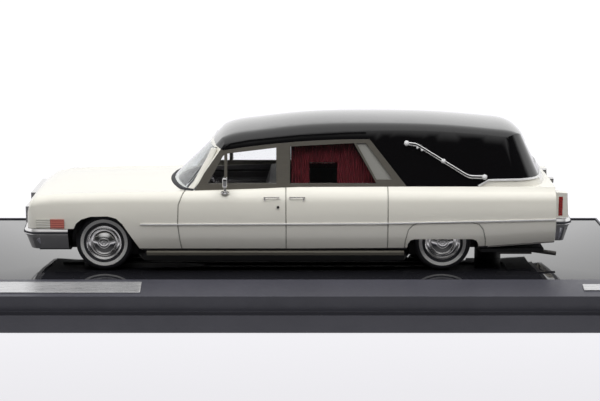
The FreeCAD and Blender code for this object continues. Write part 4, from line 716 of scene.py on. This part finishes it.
class HEARSE_OT_curtains(Operator):
    """Pleat the curtains and cut the opening in each"""
    bl_idname = "hearse.curtains"
    bl_label = "Curtains"

    FRONT_X, REAR_X = 1.5, -23.5
    LOW, HIGH = -1.54, 11.9  # up the wall from the belt
    INSIDE = 2.2  # from the outer face of the window wall
    PER_PLEAT, ROWS = 4, 26  # columns of faces in a pleat, and rows
    SWING, EXTRA = 0.2, 0.12  # a pleat's half depth, and how much more each third one has
    OPENING = (-12.45, -4.8, 0.1, 6.4)  # its ends along the curtain, its foot and its head
    REAR_FOOT, REAR_SLOPE = -24.9, (-0.84, 0.56)
    THICKNESS = 0.14

    def execute(self, context):
        pleat = context.scene.hearse_sizes.pleat / MM
        width, height = self.FRONT_X - self.REAR_X, self.HIGH - self.LOW
        columns = int(width / pleat) * self.PER_PLEAT
        step = width / columns
        begin("grid", x_subdivisions=columns, y_subdivisions=self.ROWS, size=1.0)
        stretch(width * MM, height * MM, 1)
        move(-width / 2, self.LOW + height / 2, 0)
        for phase, every, rise in ((0, 1, self.SWING), (2, 1, -self.SWING), (4, 3, self.EXTRA)):
            choose("VERT", lambda middle, normal: round(-middle.x / step) % (every * self.PER_PLEAT) == phase)
            move(0, 0, rise)
        bpy.ops.mesh.select_mode(type="FACE")
        bpy.ops.mesh.select_all(action="SELECT")
        # The rear edge slopes with the window.
        bpy.ops.mesh.bisect(plane_co=(self.REAR_FOOT * MM, self.LOW * MM, 0), plane_no=(*self.REAR_SLOPE, 0),
                            clear_outer=True)
        rear, front, low, high = self.OPENING
        choose("FACE", lambda middle, normal: rear < middle.x < front and low < middle.y < high)
        bpy.ops.mesh.delete(type="FACE")
        bpy.ops.object.mode_set(mode="OBJECT")
        curtain = bpy.context.object
        apply_modifier(curtain, "SOLIDIFY", thickness=self.THICKNESS * MM, offset=0.0)
        left = stamp(curtain, "left_curtain", axes(FORWARD, LEAN_IN, FORWARD.cross(LEAN_IN)),
                     (self.FRONT_X, WALL_Y - self.INSIDE, BELT_Z))
        discard(curtain)
        dress_both(left, "curtain", "curtain_red", "curtains", smooth=60)
        return {"FINISHED"}


class HEARSE_OT_handles(Operator):
    """Shape the door handles and locks"""
    bl_idname = "hearse.handles"
    bl_label = "Door handles"

    HANDLES = ((8.9, -0.35), (2.0, -3.95))  # front end of each grip, and its pull from there
    GRIP = (4.3, 0.28, 0.26)
    PULL = (0.34, 0.3, 0.95)
    PEG = [(0.0, -0.4), (0.16, -0.4), (0.16, 0.1), (0.0, 0.1)]
    LOCK = [(0.0, -0.3), (0.36, -0.3), (0.36, 0.04), (0.3, 0.08), (0.24, 0.02), (0.0, 0.02)]

    def execute(self, context):
        low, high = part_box("door_handles")
        skin_y = high.y / MM - 0.3
        z = (low.z + high.z) / 2 / MM
        block(*self.GRIP, 0.08)
        grip = close_up()
        block(*self.PULL, 0.08)
        pull = close_up()
        turned(self.PEG, segments=16)
        peg = close_up()
        turned(self.LOCK, segments=20)
        lock = close_up()
        pieces = []
        for front_x, pull_x in self.HANDLES:
            middle_x = front_x - self.GRIP[0] / 2
            pieces.append(stamp(grip, "bar", UPRIGHT, (middle_x, skin_y + 0.3, z + 0.28)))
            pieces.append(stamp(pull, "hook", UPRIGHT, (front_x + pull_x, skin_y + 0.28, z - 0.06)))
            for foot_x in (front_x - 0.3, front_x - 4.0):
                pieces.append(stamp(peg, "foot", OUT_LEFT, (foot_x, skin_y + 0.2, z + 0.28)))
        handles = joined("left_door_handles", *pieces)
        left_lock = stamp(lock, "left_door_lock", OUT_LEFT, (5.0, skin_y + 0.75, z - 2.3))
        dress_both(handles, "chrome", "chrome", "door_handles")
        dress_both(left_lock, "black_abs", "black_plastic", "door_handles")
        discard(grip, pull, peg, lock)
        return {"FINISHED"}


class HEARSE_OT_mirrors(Operator):
    """Shape the door mirrors: oval foot, tapered stalk, rounded head"""
    bl_idname = "hearse.mirrors"
    bl_label = "Door mirrors"

    FOOT_AT, HEAD_AT = (19.2, 28.1, 33.45), (19.2, 28.85, 36.45)
    FOOT = [(0.0, -0.1), (1.15, -0.1), (1.22, 0.1), (1.15, 0.3), (0.9, 0.36), (0.5, 0.46), (0.34, 0.8),
            (0.28, 1.5), (0.26, 2.6), (0.0, 2.6)]
    OVAL = 0.62  # the foot's width as a share of its length
    HEAD = (1.3, 2.6, 2.6)

    def execute(self, context):
        turned(self.FOOT, segments=28)
        stretch(1, self.OVAL, 1)
        foot = close_up()
        block(*self.HEAD, 0.42, segments=3)
        choose("FACE", lambda middle, normal: normal.x < -0.95)
        bpy.ops.mesh.inset(thickness=0.12 * MM)
        move(0.1, 0, 0)
        head = close_up()
        left = joined("left_door_mirror", stamp(foot, "foot", UPRIGHT, self.FOOT_AT),
                      stamp(head, "head", UPRIGHT, self.HEAD_AT))
        dress_both(left, "chrome", "chrome", "door_mirrors")
        discard(foot, head)
        return {"FINISHED"}


class HEARSE_OT_steering_wheel(Operator):
    """Turn the steering wheel's rim, hub and column, and set its spokes"""
    bl_idname = "hearse.steering_wheel"
    bl_label = "Steering wheel"

    MIDDLE, TILT = (21.7, 15.45, 33.5), (-0.82, 0, 0.57)
    RIM, GRIP = 3.32, 0.27  # radius of the rim, and of its section
    HUB = [(0.0, -3.6), (0.45, -3.6), (0.42, -0.6), (0.85, -0.2), (0.9, 0.12), (0.6, 0.3), (0.0, 0.34)]
    SPOKES = (0.6, 6.4, 0.22)

    def execute(self, context):
        section = [math.tau * k / 8 for k in range(9)]
        turned([(self.RIM + self.GRIP * math.cos(angle), self.GRIP * math.sin(angle)) for angle in section],
               segments=40)
        rim = close_up()
        turned(self.HUB, segments=24)
        hub = close_up()
        block(*self.SPOKES, 0.08)
        whole = joined("wheel", rim, hub, close_up())
        tilt = Vector(self.TILT).normalized()
        piece = stamp(whole, "helm", axes(Vector((0, 1, 0)).cross(tilt), (0, 1, 0), tilt), self.MIDDLE)
        dress(piece, "trim", "root", "trim_charcoal", "steering_wheel")
        discard(whole)
        return {"FINISHED"}


class HEARSE_OT_plates(Operator):
    """Press the two blank plates on the sloped edge"""
    bl_idname = "hearse.plates"
    bl_label = "Plates"

    PLATES = (("name_plate", 65.1, 48.0, 5.9), ("number_plate", -83.2, 15.0, 3.3))  # x, width and depth
    ROW_Y, ROW_Z = 39.3, 10.05  # where their middles lie on the slope
    THICK, PRESSED = 0.3, 0.05

    def execute(self, context):
        rim = context.scene.hearse_sizes.plate_rim
        up = Vector((0, math.sin(SLOPE), math.cos(SLOPE)))
        lie = axes(FORWARD, up.cross(FORWARD), up)
        for node, x, wide, deep in self.PLATES:
            block(wide, deep, self.THICK, 0.07)
            choose("FACE", lambda middle, normal: normal.z > 0.95)
            bpy.ops.mesh.inset(thickness=rim)
            move(0, 0, -self.PRESSED)
            plate = close_up()
            middle = Vector((x, self.ROW_Y, self.ROW_Z)) + up * self.THICK / 2
            piece = stamp(plate, f"blank_{node}", lie, middle)
            dress(piece, "plate", "root", "plate_metal", node)
            discard(plate)
        return {"FINISHED"}


class HEARSE_OT_plinth_lip(Operator):
    """Raise the low lip round the back and sides of the plinth's top"""
    bl_idname = "hearse.plinth_lip"
    bl_label = "Plinth lip"

    SIDE, BACK, FRONT, TOP = 94.0, -43.85, 34.6, 11.17  # edges and height of the plinth's top
    WIDTH, RISE = 0.6, 0.4

    def execute(self, context):
        begin_sized("plane", 2 * self.SIDE, self.FRONT - self.BACK, 0)
        bpy.ops.mesh.inset(thickness=self.WIDTH * MM)
        # The field inside goes, and the band's front side.
        choose("FACE", lambda middle, normal: middle.y > 30 or middle.length < 1)
        bpy.ops.mesh.delete(type="FACE")
        bpy.ops.mesh.select_all(action="SELECT")
        extrude(0, 0, self.RISE)
        bpy.ops.mesh.select_all(action="SELECT")
        bpy.ops.mesh.bevel(offset=0.06 * MM, segments=2, affect="EDGES")
        lip = close_up()
        piece = stamp(lip, "plinth_lip", UPRIGHT, (0, (self.FRONT + self.BACK) / 2, self.TOP))
        dress(piece, "base_edge", "root", "gloss_black_base")
        discard(lip)
        return {"FINISHED"}


class HEARSE_OT_pillar_covers(Operator):
    """Draw the rounded covers of the windscreen pillars up from the belt"""
    bl_idname = "hearse.pillar_covers"
    bl_label = "Windscreen pillar covers"

    # Up the left pillar, from its foot to its head.
    ROUTE = [(28.74, 25.45, 33.85), (26.91, 24.97, 36.0), (25.61, 24.37, 38.3), (24.81, 24.02, 39.8),
             (24.01, 23.72, 41.1), (23.31, 23.32, 42.4), (22.21, 22.77, 44.7)]
    ACROSS = (0.748, -0.663, 0.0)  # along the windscreen's edge
    HALF_WIDTH, DEPTH = 1.1, 0.34  # and the depth as a share of the width

    def execute(self, context):
        across, up = Vector(self.ACROSS), Vector((0, 0, 1))
        turn = axes(across, up.cross(across), up)
        begin("circle", vertices=20, radius=self.HALF_WIDTH * MM, fill_type="NGON")
        stretch(1, self.DEPTH, 1)
        bpy.ops.mesh.select_mode(type="FACE")
        for point, following in zip(self.ROUTE, self.ROUTE[1:]):
            extrude(*(turn.transposed() @ (Vector(following) - Vector(point))))
        cover = close_up()
        left = stamp(cover, "left_pillar_cover", turn, self.ROUTE[0])
        dress_both(left, "cream_enamel", "pearl_white_paint", smooth=50)
        discard(cover)
        return {"FINISHED"}


class HEARSE_OT_frame_rails(Operator):
    """Fold the two perimeter rails under the chassis plate"""
    bl_idname = "hearse.frame_rails"
    bl_label = "Frame rails"

    ROUTE = [(58.4, 12.2), (43.2, 12.2), (41.0, 19.4), (-28.8, 19.4), (-30.6, 12.2), (-46.6, 12.2)]
    TOP_Z, THICK = 16.65, 0.8  # the route gives x, and y from the centre plane

    def execute(self, context):
        deep = context.scene.hearse_sizes.rail_depth / MM
        begin("plane", size=1.0)
        bpy.ops.transform.rotate(value=math.pi / 2, orient_axis="X", center_override=(0, 0, 0))
        (x, y), (next_x, next_y) = self.ROUTE[:2]
        stretch((x - next_x) * MM, 1, deep * MM)
        move((x + next_x) / 2, y, 0)
        choose("EDGE", lambda middle, normal: middle.x < next_x + 0.01)
        for (x, y), (next_x, next_y) in zip(self.ROUTE[1:], self.ROUTE[2:]):
            extrude(next_x - x, next_y - y, 0)
        rail = close_up()
        apply_modifier(rail, "SOLIDIFY", thickness=self.THICK * MM, offset=0.0, use_even_offset=True)
        left = stamp(rail, "left_frame_rail", UPRIGHT, (0, CENTRE_Y, self.TOP_Z - deep / 2))
        dress_both(left, "black_abs", "black_plastic")
        discard(rail)
        return {"FINISHED"}


class HEARSE_OT_screws(Operator):
    """Turn the two slotted screws under the plinth"""
    bl_idname = "hearse.screws"
    bl_label = "Fixing screws"

    SCREWS = ((56.5, 0.6), (-54.0, -0.35))  # x of each, and the turn of its slot
    HEAD_Z = 2.1
    PROFILE = [(0.0, 0.0), (2.3, 0.0), (2.52, 0.18), (2.6, 0.5), (2.6, 1.6), (1.2, 1.6), (1.2, 12.5),
               (0.0, 12.5)]
    SLOT = (6.0, 0.6, 1.2)

    def execute(self, context):
        turned(self.PROFILE, segments=40)
        screw = close_up()
        begin_sized("cube", *self.SLOT)
        slot_tool = close_up()
        apply_modifier(screw, "BOOLEAN", operation="DIFFERENCE", object=slot_tool)
        pieces = [stamp(screw, "screw", Matrix.Rotation(angle, 3, "Z"), (x, CENTRE_Y, self.HEAD_Z))
                  for x, angle in self.SCREWS]
        dress(joined("slotted_screws", *pieces), "steel", "root", "screw_steel", "fixing_screws")
        discard(screw, slot_tool)
        return {"FINISHED"}


# ---- studio

def seen_and_mirrored(add):
    """Two masks: rays from the camera, also straight through glass, and mirrored rays."""
    path = add("LightPath").outputs
    glass = path["Is Transmission Ray"]
    turns = add("Math", operation="ADD", _0=path["Diffuse Depth"], _1=path["Glossy Depth"])
    straight = add("Math", operation="SUBTRACT", use_clamp=True, _0=1.0, _1=turns)
    through = add("Math", operation="MULTIPLY", _0=glass, _1=straight)
    seen = add("Math", operation="MAXIMUM", _0=path["Is Camera Ray"], _1=through)
    shiny = add("Math", operation="MAXIMUM", _0=path["Is Glossy Ray"], _1=glass)
    unspent = add("Math", operation="SUBTRACT", use_clamp=True, _0=1.0, _1=path["Diffuse Depth"])
    mirrored_ray = add("Math", operation="MULTIPLY", _0=shiny, _1=unspent)
    return seen, mirrored_ray


class HEARSE_OT_studio(Operator):
    """Lay the pale floor and set the soft lights and the camera"""
    bl_idname = "hearse.studio"
    bl_label = "Set up the studio"

    FLOOR_SIZE, FLOOR_GAP = 8.0, 0.2  # in m, and in mm under the plinth
    LAMP_AT, LAMP_AIM, LAMP_SIZE = (0.0, 0.23, 0.74), (0, 0, 0.03), (1.5, 0.75)  # in m
    CAMERA_AT, CAMERA_TILT = (-0.0009, 0.45805, 0.1165), 11.2  # in m, and the degrees it looks down
    FILM_WIDTH = 36.0
    FILL = 0.18  # the surround's share in soft light

    def execute(self, context):
        settings = context.scene.hearse_studio
        self.lay_floor(settings)
        self.light(settings)
        self.surround(context)
        self.set_camera(context, settings)
        context.scene.view_settings.view_transform = "Standard"
        return {"FINISHED"}

    def lay_floor(self, settings):
        """Paper that grows brighter towards the back. What shines mirrors only the paper behind it, because
        the room in front is dim."""
        begin("plane", size=self.FLOOR_SIZE)
        move(0, 0, -self.FLOOR_GAP)
        bpy.ops.mesh.subdivide(number_cuts=3)
        floor = close_up()
        floor.name = "studio_floor"
        material = bpy.data.materials.new("white_paper_floor")
        add = start_nodes(material)
        paper = add("BsdfDiffuse", Color=darker(settings.floor, 0.28))
        place = add("TexCoord").outputs["Object"]
        depth = add("SeparateXYZ", _0=place).outputs["Y"]
        bright = add("MapRange", _0=depth, _1=0.12, _2=-0.12, _3=0.98, _4=1.3)
        dim = add("MapRange", _0=depth, _1=0.06, _2=0.1, _3=1.0, _4=0.15)
        seen, shone = seen_and_mirrored(add)
        fade = add("Mix", data_type="FLOAT", _0=seen, _2=dim, _3=1.0)
        level = add("Math", operation="MULTIPLY", _0=bright, _1=fade)
        glow = add("Emission", Color=tuple(settings.floor), Strength=level)
        shown = add("Math", operation="MAXIMUM", _0=seen, _1=shone)
        share = add("Math", operation="MULTIPLY", _0=shown, _1=0.86)
        mix = add("MixShader", _0=share, _1=paper, _2=glow)
        add("OutputMaterial", Surface=mix)
        floor.data.materials.append(material)

    def light(self, settings):
        """One soft box overhead, which doesn't show in what shines."""
        aim = Vector(self.LAMP_AIM) - Vector(self.LAMP_AT)
        bpy.ops.object.light_add(type="AREA", location=self.LAMP_AT,
                                 rotation=aim.to_track_quat("-Z", "Y").to_euler())
        lamp = bpy.context.object
        lamp.name = "ceiling_softbox"
        lamp.data.shape = "RECTANGLE"
        lamp.data.size, lamp.data.size_y = self.LAMP_SIZE
        lamp.data.energy = settings.ceiling_power
        lamp.visible_glossy = False

    def surround(self, context):
        """White paper behind and above, and the dim side of the room behind the camera."""
        world = bpy.data.worlds.new("white_surround")
        context.scene.world = world
        add = start_nodes(world)
        way = add("SeparateXYZ", _0=add("TexCoord").outputs["Generated"]).outputs
        room = add("MapRange", interpolation_type="SMOOTHSTEP", _0=way["Y"], _1=0.05, _2=0.45,
                   _3=1.0, _4=0.03)
        above = add("MapRange", interpolation_type="SMOOTHSTEP", _0=way["Z"], _1=0.34, _2=0.98,
                    _3=0.0, _4=1.0)
        level = add("Math", operation="MAXIMUM", _0=room, _1=above)
        fill = add("Math", operation="MULTIPLY", _0=level, _1=self.FILL)
        mirrored_light = add("Background", _0="#ffffff", _1=level)
        soft_light = add("Background", _0="#ffffff", _1=fill)
        white = add("Background", _0="#ffffff", _1=1.0)
        direct, shone = seen_and_mirrored(add)
        lit = add("MixShader", _0=shone, _1=soft_light, _2=mirrored_light)
        seen = add("MixShader", _0=direct, _1=lit, _2=white)
        add("OutputWorld", Surface=seen)

    def set_camera(self, context, settings):
        """Camera in front of the plinth, looking down a little."""
        bpy.ops.object.camera_add(location=self.CAMERA_AT,
                                  rotation=(math.radians(90 - self.CAMERA_TILT), 0, math.radians(180)))
        camera = bpy.context.object
        camera.name = "studio_camera"
        camera.data.lens = settings.lens_length
        camera.data.sensor_width = self.FILM_WIDTH
        camera.data.clip_start = 0.01
        context.scene.camera = camera


class HEARSE_PT_panel(Panel):
    """Settings, and a button for each step of the build"""
    bl_label = "Landau hearse"
    bl_idname = "HEARSE_PT_panel"
    bl_space_type = "VIEW_3D"
    bl_region_type = "UI"
    bl_category = "Hearse"

    def draw(self, context):
        for name, group in SETTINGS.items():
            for setting in group.__annotations__:
                self.layout.prop(getattr(context.scene, name), setting)
        for step in STEPS:
            self.layout.operator(step.bl_idname)


STEPS = (
    HEARSE_OT_finishes, HEARSE_OT_wheel_covers, HEARSE_OT_tyres, HEARSE_OT_landau_bars, HEARSE_OT_curtains,
    HEARSE_OT_handles, HEARSE_OT_mirrors, HEARSE_OT_steering_wheel, HEARSE_OT_plates, HEARSE_OT_plinth_lip,
    HEARSE_OT_pillar_covers, HEARSE_OT_frame_rails, HEARSE_OT_screws, HEARSE_OT_studio,
)
SETTINGS = {"hearse_paints": HearsePaints, "hearse_sizes": HearseSizes, "hearse_studio": StudioSettings}
CLASSES = tuple(SETTINGS.values()) + STEPS + (HEARSE_PT_panel,)


def register():
    for cls in CLASSES:
        bpy.utils.register_class(cls)
    for name, group in SETTINGS.items():
        setattr(bpy.types.Scene, name, PointerProperty(type=group))


def unregister():
    for name in SETTINGS:
        delattr(bpy.types.Scene, name)
    for cls in reversed(CLASSES):
        bpy.utils.unregister_class(cls)


def main():
    """Builds the model and the studio."""
    register()
    for step in STEPS:
        deselect()
        getattr(bpy.ops.hearse, step.bl_idname.split(".")[1])()


if __name__ == "__main__":
    main()
